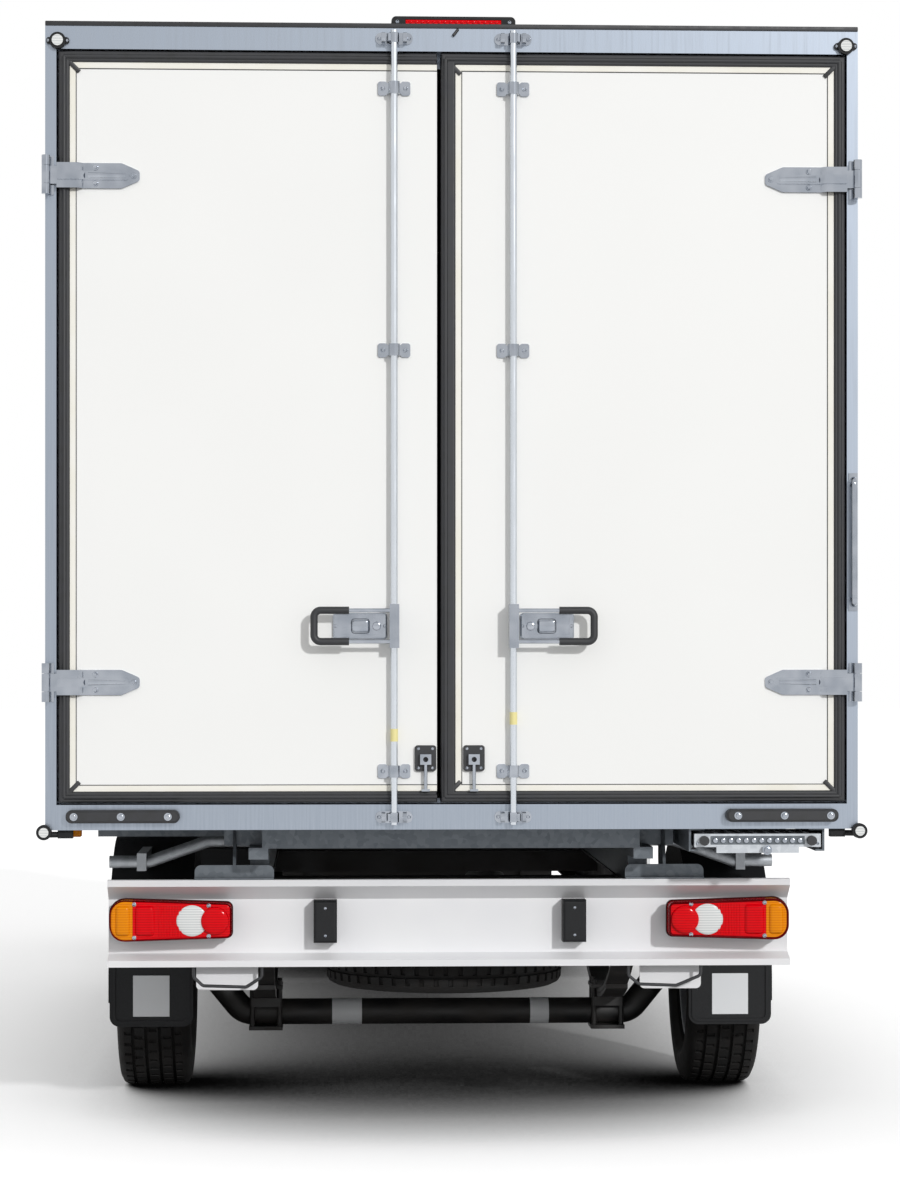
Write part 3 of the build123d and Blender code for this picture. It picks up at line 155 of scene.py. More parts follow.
def hot_dip_galvanise(name, dark, light):
    # Hot-dip zinc: dull grey metal with a spangle of flat crystals, drawn about 14 mm across to show.
    # The darker copy made with it has painted shade: its colour is made darker to stand in for shade.
    made, tree, shader = coat(name, light, 0.5, Metallic=0.85)
    place = put(tree, "ShaderNodeTexCoord")
    cells = put(tree, "ShaderNodeTexVoronoi", {"Scale": 1 / (14 * mm)}, {"Vector": place.outputs["Object"]})
    ramp = put(tree, "ShaderNodeValToRGB", links={"Fac": cells.outputs["Color"]})
    ramp.color_ramp.elements[0].color = linear(dark)
    ramp.color_ramp.elements[1].color = linear(light)
    tree.links.new(ramp.outputs["Color"], shader.inputs["Base Color"])
    return made


def sprayed_white():
    # White paint sprayed on the pressed light bar: plain, half gloss, a little dusty.
    made, tree, shader = coat("sprayed_white_paint", "E9E9EA", 0.4, IOR=1.5)
    vary(tree, shader, blotches(tree, 160 * mm, detail=1.0), (0.36, 0.46), ("EAEAEB", "E6E6E8"))
    return made


def cab_enamel():
    # Cab body enamel: white under a clear lacquer, smooth and glossy.
    made, tree, shader = coat("white_cab_enamel", "EFF0F1", 0.3, IOR=1.5, Coat_Weight=1.0,
                              Coat_Roughness=0.05)
    vary(tree, shader, blotches(tree, 300 * mm), (0.25, 0.34))
    return made


def chassis_black():
    # Dipped black chassis paint with road dust: dark, half matt, browner in patches.
    made, tree, shader = coat("dipped_chassis_black", "1C1C1D", 0.55)
    vary(tree, shader, blotches(tree, 90 * mm), (0.45, 0.7), ("161617", "2B2826"))
    return made


def extruded_rubber():
    # Extruded EPDM rubber: deep black with a faint soft sheen.
    made, tree, shader = coat("extruded_black_rubber", "1D1E20", 0.5)
    vary(tree, shader, blotches(tree, 30 * mm), (0.42, 0.6), ("1A1B1D", "25262A"), 0.2 * mm)
    return made


def tyre_rubber():
    # Moulded tyre rubber: charcoal, matt, with grey dust.
    made, tree, shader = coat("moulded_tyre_rubber", "161616", 0.8, Specular_IOR_Level=0.25)
    vary(tree, shader, blotches(tree, 45 * mm), (0.7, 0.9), ("131313", "1F1D1C"))
    return made


def cream_vinyl():
    # Extruded PVC trim that has yellowed: cream, with a dull shine.
    made, tree, shader = coat("extruded_cream_vinyl", "F2F0E8", 0.45)
    vary(tree, shader, blotches(tree, 120 * mm), (0.4, 0.52), ("F3F1EA", "EEEBDF"))
    return made


def grained_plastic(name, colour):
    # Grained ABS: matt, with a fine leather grain drawn 5 mm wide to show.
    made, tree, shader = coat(name, colour, 0.55, Specular_IOR_Level=0.25)
    vary(tree, shader, blotches(tree, 5 * mm), (0.48, 0.64), None, 0.25 * mm)
    return made


def pressed_acrylic(name, colour, deep):
    # Pressed acrylic lens: clear colour under a hard gloss, with prisms behind it, drawn 7 mm wide.
    made, tree, shader = coat(name, colour, 0.12, IOR=1.49, Specular_IOR_Level=0.12)
    place = put(tree, "ShaderNodeTexCoord")
    prisms = put(tree, "ShaderNodeTexWave", {"Scale": math.pi / (10 * 7 * mm)},
                 {"Vector": place.outputs["Object"]}, bands_direction="Z")
    ramp = put(tree, "ShaderNodeValToRGB", links={"Fac": prisms.outputs["Fac"]})
    ramp.color_ramp.elements[0].color = linear(deep)
    ramp.color_ramp.elements[1].color = linear(colour)
    tree.links.new(ramp.outputs["Color"], shader.inputs["Base Color"])
    return made


def float_glass():
    # Tinted float glass: clear, with a mirror-smooth surface.
    return coat("tinted_float_glass", "D5E0DC", 0.0, IOR=1.52, Transmission_Weight=1.0)[0]


def lamp_polycarbonate():
    # Moulded clear polycarbonate: glass-like cover with a little haze.
    return coat("clear_polycarbonate", "E6EAEC", 0.05, IOR=1.58, Transmission_Weight=0.75)[0]


def silvered_mirror():
    # Silvered mirror glass: reflects almost everything.
    return coat("silvered_mirror", "E4E7E9", 0.02, Metallic=1.0)[0]


def drawn_aluminium():
    # Anodised aluminium extrusion: pale, satin, streaked along its length, in streaks drawn 5 mm wide.
    made, tree, shader = coat("anodised_aluminium", "C5C8CA", 0.4, Metallic=1.0)
    vary(tree, shader, blotches(tree, 5 * mm, (1, 40, 1)), (0.34, 0.46))
    return made


def painted_wheel():
    # Steel wheel in silver-grey paint: satin with fine metal flake, drawn 4 mm wide.
    made, tree, shader = coat("silver_wheel_paint", "9DA0A3", 0.42, Metallic=0.6)
    vary(tree, shader, blotches(tree, 4 * mm), (0.36, 0.5), ("A4A7AA", "94979A"))
    return made


def cast_metal():
    # Sand-cast aluminium: pale grey with a coarse matt skin, its grain drawn 9 mm wide to show.
    made, tree, shader = coat("sand_cast_aluminium", "8B8C8C", 0.65, Metallic=0.8)
    vary(tree, shader, blotches(tree, 9 * mm), (0.55, 0.75), ("969797", "7A7B7B"), 0.5 * mm)
    return made


def woven_fabric():
    # Woven seat cloth: dark grey with crossing threads, drawn 6 mm apart to show.
    made, tree, shader = coat("woven_seat_cloth", "3B3E44", 0.9, Sheen_Weight=0.25)
    place = put(tree, "ShaderNodeTexCoord")
    threads = put(tree, "ShaderNodeTexChecker", {"Scale": 1 / (3 * mm), "Color1": linear("43474E"),
                  "Color2": linear("31343A")}, {"Vector": place.outputs["Object"]})
    tree.links.new(threads.outputs["Color"], shader.inputs["Base Color"])
    return made


def floor_resin():
    # Poured load-floor resin with grit: grey and matt, the grit drawn 6 mm wide to show.
    made, tree, shader = coat("poured_floor_resin", "8E9092", 0.7)
    vary(tree, shader, blotches(tree, 6 * mm), (0.6, 0.8), ("989A9C", "828486"), 0.4 * mm)
    return made


def two_tone_bumper(split_z):
    # Moulded bumper: black grained plastic below, painted to match the cab above the moulding line.
    made, tree, shader = coat("painted_and_grained_bumper", "EFF0F1", 0.42)
    place = put(tree, "ShaderNodeTexCoord")
    parts = put(tree, "ShaderNodeSeparateXYZ", links={"Vector": place.outputs["Object"]})
    above = put(tree, "ShaderNodeMath", {1: split_z}, {0: parts.outputs["Z"]}, operation="GREATER_THAN")
    ramp = put(tree, "ShaderNodeValToRGB", links={"Fac": above.outputs["Value"]})
    ramp.color_ramp.elements[0].color = linear("1E1F21")
    ramp.color_ramp.elements[1].color = linear("EFF0F1")
    tree.links.new(ramp.outputs["Color"], shader.inputs["Base Color"])
    return made


gelcoat, stainless, zinc, rod_steel = moulded_gelcoat(), brushed_stainless(), zinc_plate(), polished_rod()
# Darker copy: painted shade, the same spangle made darker to look shaded, on the subframe and the step's
# channel.
shade_darkened_galvanised = hot_dip_galvanise("shade_darkened_galvanised_spangle", "54595E", "666B70")
new_galvanised = hot_dip_galvanise("bright_galvanised_spangle", "A3A7AC", "B6BABE")
white_paint, enamel = sprayed_white(), cab_enamel()
black_paint, rubber, tyre_black = chassis_black(), extruded_rubber(), tyre_rubber()
vinyl, aluminium, wheel_paint = cream_vinyl(), drawn_aluminium(), painted_wheel()
black_plastic = grained_plastic("grained_black_plastic", "151618")
grey_plastic = grained_plastic("grained_grey_plastic", "54575B")
red_lens = pressed_acrylic("red_acrylic_lens", "E80010", "CA000C")
lamp_rim = pressed_acrylic("deep_red_lamp_rim", "6E0A12", "5A080E")
lamp_case = pressed_acrylic("dark_red_lamp_case", "3A080B", "2C0608")
amber_lens = pressed_acrylic("amber_acrylic_lens", "F0940C", "E07E04")
clear_lens = pressed_acrylic("clear_acrylic_lens", "EDEEEC", "CFD2D2")
glass, polycarbonate, mirror_silver = float_glass(), lamp_polycarbonate(), silvered_mirror()
cast_aluminium, seat_cloth, load_floor = cast_metal(), woven_fabric(), floor_resin()
# Adhesive vinyl tape: flat pale yellow.
yellow_tape = coat("yellow_vinyl_tape", "EADF9C", 0.5)[0]
# Plain adhesive film on the mud flaps and the axle: white and smooth.
blank_film = coat("blank_white_film", "E6E8EA", 0.45)[0]

bumper_split_z = 715 * mm
plain_finishes = {
    gelcoat: ("rear_door_left", "rear_door_right", "box_side_walls", "box_front_wall", "box_roof"),
    stainless: ("rear_frame",),
    zinc: ("rear_frame_fittings",),
    # painted shade: the subframe takes the shade-darkened copy
    shade_darkened_galvanised: ("body_subframe",),
    new_galvanised: ("mudguard_tubes",),
    white_paint: ("light_bar",),
    enamel: ("cab_roof", "cab_sides", "cab_rear_wall", "bonnet", "cab_door_left", "cab_door_right"),
    black_paint: ("chassis_frame", "rear_axle", "leaf_springs", "front_suspension", "knuckle_left",
                  "knuckle_right"),
    rubber: ("rear_door_left_seal", "rear_door_right_seal", "sill_buffers", "lamp_cables"),
    aluminium: ("box_edge_profiles",),
    wheel_paint: [f"wheel_{place}" for place in wheel_corners],
    two_tone_bumper(bumper_split_z): ("front_bumper",),
    black_plastic: ("grille", "arch_liners", "rear_mudguards", "fuel_tank", "steering_wheel"),
    grey_plastic: ("dashboard", "cab_floor"),
    glass: ("windscreen", "cab_door_left_glass", "cab_door_right_glass"),
    polycarbonate: ("headlamps",),
    cast_aluminium: ("engine", "exhaust"),
    load_floor: ("box_floor",),
}
for finish, names in plain_finishes.items():
    for name in names:
        nodes[name].data.materials.clear()
        nodes[name].data.materials.append(finish)


def coat_faces(name, finishes, pick):
    """Gives a solid several finishes: pick names the one for a face from its centre."""
    mesh = nodes[name].data
    mesh.materials.clear()
    order = list(finishes)
    for finish in order:
        mesh.materials.append(finish)
    for face in mesh.polygons:
        face.material_index = order.index(pick(face.center))


# Faces of one node that are made of different stuff
lock_rod_x, rod_y, rod_radius = 161 * mm, rear_y - 22 * mm, 9.5 * mm
grip_start_x = lock_rod_x + 121 * mm
handle_z, handle_half = 1410 * mm, 100 * mm
grip_depth = 30 * mm           # the grip stands at least this far behind the door
retainer_reach, retainer_top_z, retainer_plate = 110 * mm, 1090 * mm, 8.5 * mm
rod_slack, disc_slack = 0.3 * mm, 0.2 * mm    # how far a face on the curve may lie from it


def fitting_finish(centre):
    across = abs(centre.x)
    if across > grip_start_x and abs(centre.z - handle_z) < handle_half and centre.y < rear_y - grip_depth:
        return rubber
    if centre.z < retainer_top_z and across < retainer_reach and centre.y > rear_y - retainer_plate:
        return rubber
    on_rod = math.hypot(across - lock_rod_x, centre.y - rod_y) < rod_radius + rod_slack
    return rod_steel if on_rod else zinc


for side in sides:
    coat_faces(f"rear_door_{side}_fittings", (zinc, rubber, rod_steel), fitting_finish)

lamp_end = max(abs(lens_low.x), lens_high.x)
amber_width = 63 * mm
disc_x, disc_reach = 714 * mm, 43 * mm
inner_disc_x, inner_disc_reach = 651 * mm, 38 * mm
lamp_z = 598 * mm
tail_lamp_start_x = 450 * mm    # the plate lamps lie nearer the middle


def lens_finish(centre):
    across, up = abs(centre.x), centre.z - lamp_z
    if across > lamp_end - amber_width:
        return amber_lens
    if math.hypot(across - inner_disc_x, up) <= inner_disc_reach + disc_slack:
        return red_lens
    if math.hypot(across - disc_x, up) <= disc_reach + disc_slack:
        return clear_lens
    return red_lens


coat_faces("tail_lamp_lenses", (red_lens, amber_lens, clear_lens), lens_finish)
coat_faces("rear_lamp_bodies", (black_plastic, lamp_case),
           lambda centre: lamp_case if abs(centre.x) > tail_lamp_start_x else black_plastic)

brake_strip_half, brake_strip_z = 130 * mm, (box_top_z + 8 * mm, box_top_z + 22 * mm)
brake_strip_depth, brake_lamp_low_z = 12.5 * mm, box_top_z - 1 * mm
header_lens_depth, corner_lens_depth, header_lamps_low_z = 14.5 * mm, 24.5 * mm, 2500 * mm


def marker_finish(centre):
    if centre.z > brake_lamp_low_z:
        lit = abs(centre.x) < brake_strip_half and brake_strip_z[0] < centre.z < brake_strip_z[1]
        return red_lens if lit and centre.y < rear_y + brake_strip_depth else black_plastic
    lens_back = header_lens_depth if centre.z > header_lamps_low_z else corner_lens_depth
    return clear_lens if centre.y < rear_y - lens_back else black_plastic


coat_faces("marker_lamps", (black_plastic, clear_lens, red_lens), marker_finish)
step_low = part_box("step_tray")[0]
stop_depth, stop_low = 17 * mm, 20 * mm    # the round rubber stops on the step's front


def step_finish(centre):
    on_stop = centre.y < step_low.y + stop_depth and centre.z > step_low.z + stop_low
    return rubber if on_stop else new_galvanised


coat_faces("step_tray", (new_galvanised, rubber), step_finish)
mirror_glass_depth = 0.5 * mm
for side in sides:
    glass_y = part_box(f"mirror_{side}")[0].y + mirror_glass_depth
    coat_faces(f"mirror_{side}", (black_plastic, mirror_silver),
               lambda centre: mirror_silver if centre.y < glass_y else black_plastic)


# Shapes that the added pieces are built from
def slab(low, high, edge=0.0, steps=2):
    """A box between two corners with rounded edges."""
    made = bmesh.new()
    bmesh.ops.create_cube(made, size=1.0)
    low, high = Vector(low), Vector(high)
    bmesh.ops.scale(made, vec=high - low, verts=made.verts)
    bmesh.ops.translate(made, vec=(low + high) / 2, verts=made.verts)
    if edge:
        bmesh.ops.bevel(made, geom=made.edges[:], offset=edge, segments=steps, profile=0.5, affect="EDGES",
                        material=-1)
    return made


def drum(radius, height, sides_round=20, edge=0.0, top_radius=None):
    """A round bar standing on the origin, with its far rim rounded."""
    made = bmesh.new()
    bmesh.ops.create_cone(made, cap_ends=True, segments=sides_round, radius1=radius,
                          radius2=radius if top_radius is None else top_radius, depth=height)
    bmesh.ops.translate(made, vec=(0, 0, height / 2), verts=made.verts)
    if edge:
        rim = [e for e in made.edges if all(v.co.z > height * 0.9 for v in e.verts)]
        bmesh.ops.bevel(made, geom=rim, offset=edge, segments=2, profile=0.5, affect="EDGES", material=-1)
    return made


def screw_head(radius):
    """A pan-head screw with a sunk drive."""
    made = drum(radius, radius * 0.55, 14, radius * 0.2)
    crest = [max(made.faces, key=lambda face: face.calc_center_median().z)]
    bmesh.ops.inset_region(made, faces=crest, thickness=radius * 0.38)
    bmesh.ops.translate(made, vec=(0, 0, -radius * 0.3), verts=crest[0].verts)
    return made


def bolt_head(radius):
    """A hexagon bolt on its washer."""
    made = drum(radius * 1.5, radius * 0.25, 20)
    join(made, drum(radius, radius * 0.9, 6, radius * 0.12), Matrix.Translation((0, 0, radius * 0.25)))
    return made


def join(whole, part, turn=Matrix()):
    """Adds a finished shape to the piece that is being built."""
    part.transform(turn)
    carrier = bpy.data.meshes.new("carrier")
    part.to_mesh(carrier)
    part.free()
    whole.from_mesh(carrier)
    bpy.data.meshes.remove(carrier)


def stand(place, facing=(0, -1, 0)):
    """Moves a shape from the origin, where it points up, to a place where it points another way."""
    turn = Vector((0, 0, 1)).rotation_difference(Vector(facing))
    return Matrix.Translation(place) @ turn.to_matrix().to_4x4()


crease = math.radians(34)


def piece(name, whole, finish, body):
    """Makes the finished shape an object that rides on a body."""
    mesh = bpy.data.meshes.new(name)
    whole.to_mesh(mesh)
    whole.free()
    mesh.materials.append(finish)
    mesh.polygons.foreach_set("use_smooth", [True] * len(mesh.polygons))
    mesh.set_sharp_from_angle(angle=crease)
    made = bpy.data.objects.new(name, mesh)
    bpy.context.scene.collection.objects.link(made)
    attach(made, body)
    return made


# Road tyres: the section spun round, with slots sunk into the ribs of the tread
def treaded_tyre(radius, width, bead):
    """A tyre about the X axis at the origin."""
    half = width / 2
    tread = half - 26 * mm
    groove_depth, groove_half = 9 * mm, 5 * mm
    slot_spacing, slot_wall, slot_depth = 3, 2.2 * mm, 6 * mm    # one face in three is sunk
    grooves = (0.7 * tread, 0.24 * tread)
    side = [(bead, half - 42 * mm), (bead + 22 * mm, half - 38 * mm), (bead + 30 * mm, half - 22 * mm),
            (bead + 34 * mm, half - 20 * mm), (bead + 48 * mm, half - 6 * mm), (bead + 62 * mm, half),
            (bead + 96 * mm, half - 3 * mm), (radius - 26 * mm, half - 6 * mm),
            (radius - 10 * mm, half - 14 * mm)]
    crown = [(radius - 3 * mm, tread)]
    for groove in grooves:
        drop = radius - 3 * mm * (groove / tread) ** 2
        crown += [(drop, groove + groove_half), (drop - groove_depth, groove + groove_half - 1 * mm),
                  (drop - groove_depth, groove - groove_half + 1 * mm), (drop, groove - groove_half)]
    right = side + crown
    section = right + [(r, -x) for r, x in reversed(right)]
    made = bmesh.new()
    ring = [made.verts.new((x, 0, r)) for r, x in section]
    loop = [made.edges.new((a, b)) for a, b in zip(ring, ring[1:] + ring[:1])]
    turns = 156
    bmesh.ops.spin(made, geom=ring + loop, cent=(0, 0, 0), axis=(1, 0, 0), angle=math.tau, steps=turns,
                   use_merge=True)
    bmesh.ops.remove_doubles(made, verts=made.verts, dist=0.01 * mm)
    bmesh.ops.recalc_face_normals(made, faces=made.faces)
    slotted = []
    for face in made.faces:
        centre = face.calc_center_median()
        step = round(math.atan2(centre.y, centre.z) / math.tau * turns - 0.5)
        reach = math.hypot(centre.y, centre.z)
        rib = 0 if abs(centre.x) > grooves[0] else 1 if abs(centre.x) > grooves[1] else 2
        on_tread = reach > radius - 6 * mm and abs(centre.x) < tread
        if on_tread and (step + rib) % slot_spacing == 0:
            slotted.append(face)
    bmesh.ops.inset_individual(made, faces=slotted, thickness=slot_wall, depth=-slot_depth)
    return made


tyre_width = tyre_places["rear_left"][1].x - tyre_places["rear_left"][0].x
tyre_radius = (tyre_places["rear_left"][1].z - tyre_places["rear_left"][0].z) / 2
bead_radius = 203.3 * mm
for place, (low, high) in tyre_places.items():
    whole = treaded_tyre(tyre_radius, tyre_width, bead_radius)
    whole.transform(Matrix.Translation((low + high) / 2))
    tyre = piece(f"road_tyre_{place}", whole, tyre_black, f"{place}_wheel")
    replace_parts(tyre, f"tyre_{place}")

# Spare wheel: a tyre of the same mould round a copy of a rear wheel's steel
spare_middle = (spare_low + spare_high) / 2
lay_flat = Matrix.Translation(spare_middle) @ Matrix.Rotation(math.radians(90), 4, "Y")
whole = treaded_tyre(tyre_radius, tyre_width, bead_radius)
whole.transform(lay_flat)
spare_tyre = piece("spare_tyre", whole, tyre_black, "truck")
whole = bmesh.new()
whole.from_mesh(nodes["wheel_rear_right"].data)
bmesh.ops.remove_doubles(whole, verts=whole.verts, dist=0.01 * mm)
low, high = tyre_places["rear_right"]
whole.transform(lay_flat @ Matrix.Translation(-(low + high) / 2))
spare_rim = piece("spare_rim", whole, wheel_paint, "truck")
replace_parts(spare_tyre, "spare_wheel")
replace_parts(spare_rim, "spare_wheel")

# Door faces: cream edge trim, the dark joint inside it, and a bead along the rubber seal
trim_width, trim_proud = 16 * mm, 1.5 * mm
joint_width, joint_proud = 2.5 * mm, 0.5 * mm
bead_thickness, bead_sunk, meeting_inset = 7 * mm, 3 * mm, 12 * mm
mitre_back, mitre_length, mitre_half = 10 * mm, 58 * mm, 6 * mm
mitre_proud, mitre_sunk = 5 * mm, 6 * mm


def edge_frame(whole, low, high, inset, width, proud, with_meeting_side, meeting_sign):
    """Strips along a door's edges on its rear face, one of them left out at an open meeting edge."""
    left, right = low.x + inset, high.x - inset
    bottom, over = low.z + inset, high.z - inset
    if not with_meeting_side and meeting_sign < 0:
        right = high.x
    y = (rear_y - proud, rear_y + 1 * mm)
    join(whole, slab((left, y[0], bottom), (right, y[1], bottom + width), proud * 0.4, 1))
    join(whole, slab((left, y[0], over - width), (right, y[1], over), proud * 0.4, 1))
    join(whole, slab((left, y[0], bottom + width), (left + width, y[1], over - width), proud * 0.4, 1))
    if with_meeting_side:
        join(whole, slab((right - width, y[0], bottom + width), (right, y[1], over - width),
                         proud * 0.4, 1))


for side, sign in sides.items():
    body = f"{side}_rear_door"
    low, high = door_boxes[side]
    closed = side == "right"
    whole = bmesh.new()
    edge_frame(whole, low, high, 0, trim_width, trim_proud, closed, sign)
    piece(f"{side}_door_trim", whole, vinyl, body)
    whole = bmesh.new()
    edge_frame(whole, low, high, trim_width, joint_width, joint_proud, closed, sign)
    piece(f"{side}_door_joint", whole, rubber, body)
    seal_low, seal_high = seal_boxes[side]
    half_seal = (high.z - seal_high.z) / 2
    whole = bmesh.new()
    outer_x = (seal_low.x if sign < 0 else seal_high.x) + sign * half_seal
    meeting_x = seal_low.x + meeting_inset if closed else high.x
    bead_y, bead_z = seal_low.y + bead_sunk, (seal_low.z - half_seal, seal_high.z + half_seal)
    for z in bead_z:
        length = abs(outer_x - meeting_x)
        join(whole, drum(bead_thickness, length, 12), stand((meeting_x, bead_y, z), (sign, 0, 0)))
    upright = [outer_x, meeting_x] if closed else [outer_x]
    for x in upright:
        join(whole, drum(bead_thickness, bead_z[1] - bead_z[0], 12),
             stand((x, bead_y, bead_z[0]), (0, 0, 1)))
    piece(f"{side}_door_seal_bead", whole, rubber, body)
    # Welded mitres: a raised strip from each seal corner across the corner of the trim
    corner_xs = [(outer_x, -sign)] + ([(meeting_x, sign)] if closed else [])
    whole = bmesh.new()
    for x, inward in corner_xs:
        for z, up in ((bead_z[0], 1), (bead_z[1], -1)):
            strip = slab((-mitre_back, -mitre_proud, -mitre_half),
                         (mitre_length, mitre_sunk, mitre_half), 2 * mm)
            turn = Matrix.Rotation(-math.atan2(up, inward), 4, "Y")
            join(whole, strip, Matrix.Translation((x, rear_y, z)) @ turn)
    piece(f"{side}_door_seal_mitres", whole, rubber, body)

# Screws and bolts on the door fittings, the sill buffers and the lamps
strap_screws = [(965 * mm, 21.5 * mm), (965 * mm, -21.5 * mm), (862 * mm, 0.0)]    # across and up
hinge_heights = (1258 * mm, 2622 * mm)
guide_heights = (1018 * mm, 2155 * mm, 2862 * mm)
guide_screw_reach = 31 * mm
base_screw_outs = (26 * mm, 158 * mm)    # out from the rod
retainer_x = {"left": -76 * mm, "right": 55 * mm}
retainer_screw_reach, retainer_screw_z = 19 * mm, (1027 * mm, 1079 * mm)
strap_y, guide_y, base_y, retainer_y = [rear_y - depth * mm for depth in (6, 5, 11.5, 8)]
strap_screw, guide_screw, base_screw, small_screw = 8 * mm, 6.5 * mm, 4.5 * mm, 4 * mm    # radii
rib_tip, rib_end, rib_tip_radius, rib_end_radius = 884 * mm, 984 * mm, 6 * mm, 9 * mm
relief_y = rear_y - 9 * mm
lever_reach, lever_half, lever_back_y = (66 * mm, 116 * mm), 20 * mm, rear_y - 23 * mm
boss_out, boss_radius, boss_height = 47 * mm, 12 * mm, 9 * mm
for side, sign in sides.items():
    whole = bmesh.new()
    for z in hinge_heights:
        for across, up in strap_screws:
            join(whole, screw_head(strap_screw), stand((sign * across, strap_y, z + up)))
    for z in guide_heights:
        for reach in (-guide_screw_reach, guide_screw_reach):
            join(whole, screw_head(guide_screw), stand((sign * lock_rod_x + reach, guide_y, z)))
    for out in base_screw_outs:
        join(whole, screw_head(base_screw), stand((sign * (lock_rod_x + out), base_y, handle_z)))
    for reach in (-retainer_screw_reach, retainer_screw_reach):
        for z in retainer_screw_z:
            join(whole, screw_head(small_screw), stand((retainer_x[side] + reach, retainer_y, z)))
    piece(f"{side}_door_screws", whole, zinc, f"{side}_rear_door")
    # Pressed relief: the ribs of the hinge straps, the lever and the boss on the handle's plate
    whole = bmesh.new()
    for z in hinge_heights:
        join(whole, drum(rib_end_radius, rib_end - rib_tip, 20, 0.0, rib_tip_radius),
             stand((sign * rib_end, relief_y, z), (-sign, 0, 0)))
    lever = sorted(sign * (lock_rod_x + reach) for reach in lever_reach)
    join(whole, slab((lever[0], lever_back_y, handle_z - lever_half),
                     (lever[1], relief_y, handle_z + lever_half), 9 * mm, 4))
    boss = drum(boss_radius, boss_height, 8, 3 * mm)
    join(whole, boss, stand((sign * (lock_rod_x + boss_out), relief_y, handle_z)))
    piece(f"{side}_door_relief", whole, zinc, f"{side}_rear_door")

buffer_low, buffer_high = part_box("sill_buffers")
buffer_middle_z = (buffer_low.z + buffer_high.z) / 2
buffer_bolts = (769 * mm, 895 * mm, 1021 * mm)
whole = bmesh.new()
for sign in sides.values():
    for across in buffer_bolts:
        join(whole, bolt_head(7 * mm), stand((sign * across, buffer_low.y, buffer_middle_z)))
piece("buffer_bolts", whole, zinc, "truck")

# Screws of the keepers, marker lamps and brake lamp
header_z, sill_z = box_top_z - 33 * mm, portal_low.z + 34 * mm
keeper_screw_reach, keeper_y = 41 * mm, rear_y - 4 * mm
marker_x, marker_y, marker_z, marker_screw_reach = 1066 * mm, rear_y - 8 * mm, 2985 * mm, 26 * mm
brake_screw_x, brake_screw_y, brake_lamp_z = 152 * mm, rear_y + 6 * mm, box_top_z + 15 * mm
whole = bmesh.new()
for sign in sides.values():
    for z in (header_z, sill_z):
        for reach in (-keeper_screw_reach, keeper_screw_reach):
            join(whole, screw_head(5.5 * mm), stand((sign * lock_rod_x + reach, keeper_y, z)))
    for reach in (-marker_screw_reach, marker_screw_reach):
        join(whole, screw_head(small_screw), stand((sign * marker_x + reach, marker_y, marker_z)))
    join(whole, screw_head(5 * mm), stand((sign * brake_screw_x, brake_screw_y, brake_lamp_z)))
piece("frame_screws", whole, zinc, "truck")

# Lamp screws: across, and above the lamp's middle
lamp_screws = [(873 * mm, 46 * mm), (873 * mm, -46 * mm), (668 * mm, 42 * mm), (668 * mm, -42 * mm)]
plate_lamp_x, plate_lamp_z, plate_lamp_reach = 346.5 * mm, 591.5 * mm, 38 * mm
plate_lamp_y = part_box("rear_lamp_bodies")[0].y
whole = bmesh.new()
for sign in sides.values():
    for across, up in lamp_screws:
        join(whole, screw_head(6 * mm), stand((sign * across, lens_low.y, lamp_z + up)))
    for up in (-plate_lamp_reach, plate_lamp_reach):
        join(whole, screw_head(small_screw), stand((sign * plate_lamp_x, plate_lamp_y, plate_lamp_z + up)))
piece("lamp_screws", whole, zinc, "truck")

# Domed fields of each lens: amber end, red field, clear reversing lamp and round inner red
field_half, field_proud, field_sunk, field_edge = 43 * mm, 7 * mm, 20 * mm, 12 * mm
fields = {"amber": (amber_lens, "lamp_clear", (884 * mm, 926 * mm)),
          "red": (red_lens, "lamp_red", (816 * mm, 872 * mm))}
for name, (finish, slot, reach) in fields.items():
    whole = bmesh.new()
    for sign in sides.values():
        across = sorted(sign * x for x in reach)
        join(whole, slab((across[0], lens_low.y - field_proud, lamp_z - field_half),
                         (across[1], lens_low.y + field_sunk, lamp_z + field_half), field_edge, 5))
    piece(f"lamp_{name}_field", whole, finish, "truck")
# Domes: finish, slot, place across, radius, how far they bulge as a share of it, how far they stand out
domes = {"clear": (clear_lens, "lamp_clear", disc_x, disc_reach, 0.12, 0.0),
         "round_red": (red_lens, "lamp_red", inner_disc_x, inner_disc_reach, 0.2, 6 * mm)}
for name, (finish, slot, x, reach, rise, lift) in domes.items():
    whole = bmesh.new()
    for sign in sides.values():
        dome = bmesh.new()
        bmesh.ops.create_uvsphere(dome, u_segments=40, v_segments=20, radius=reach)
        flattened = Matrix.Diagonal((1, rise, 1, 1))
        join(whole, dome, Matrix.Translation((sign * x, lens_low.y - lift, lamp_z)) @ flattened)
        if lift:
            join(whole, drum(reach, lift, 40), stand((sign * x, lens_low.y, lamp_z)))
    piece(f"lamp_{name}_dome", whole, finish, "truck")

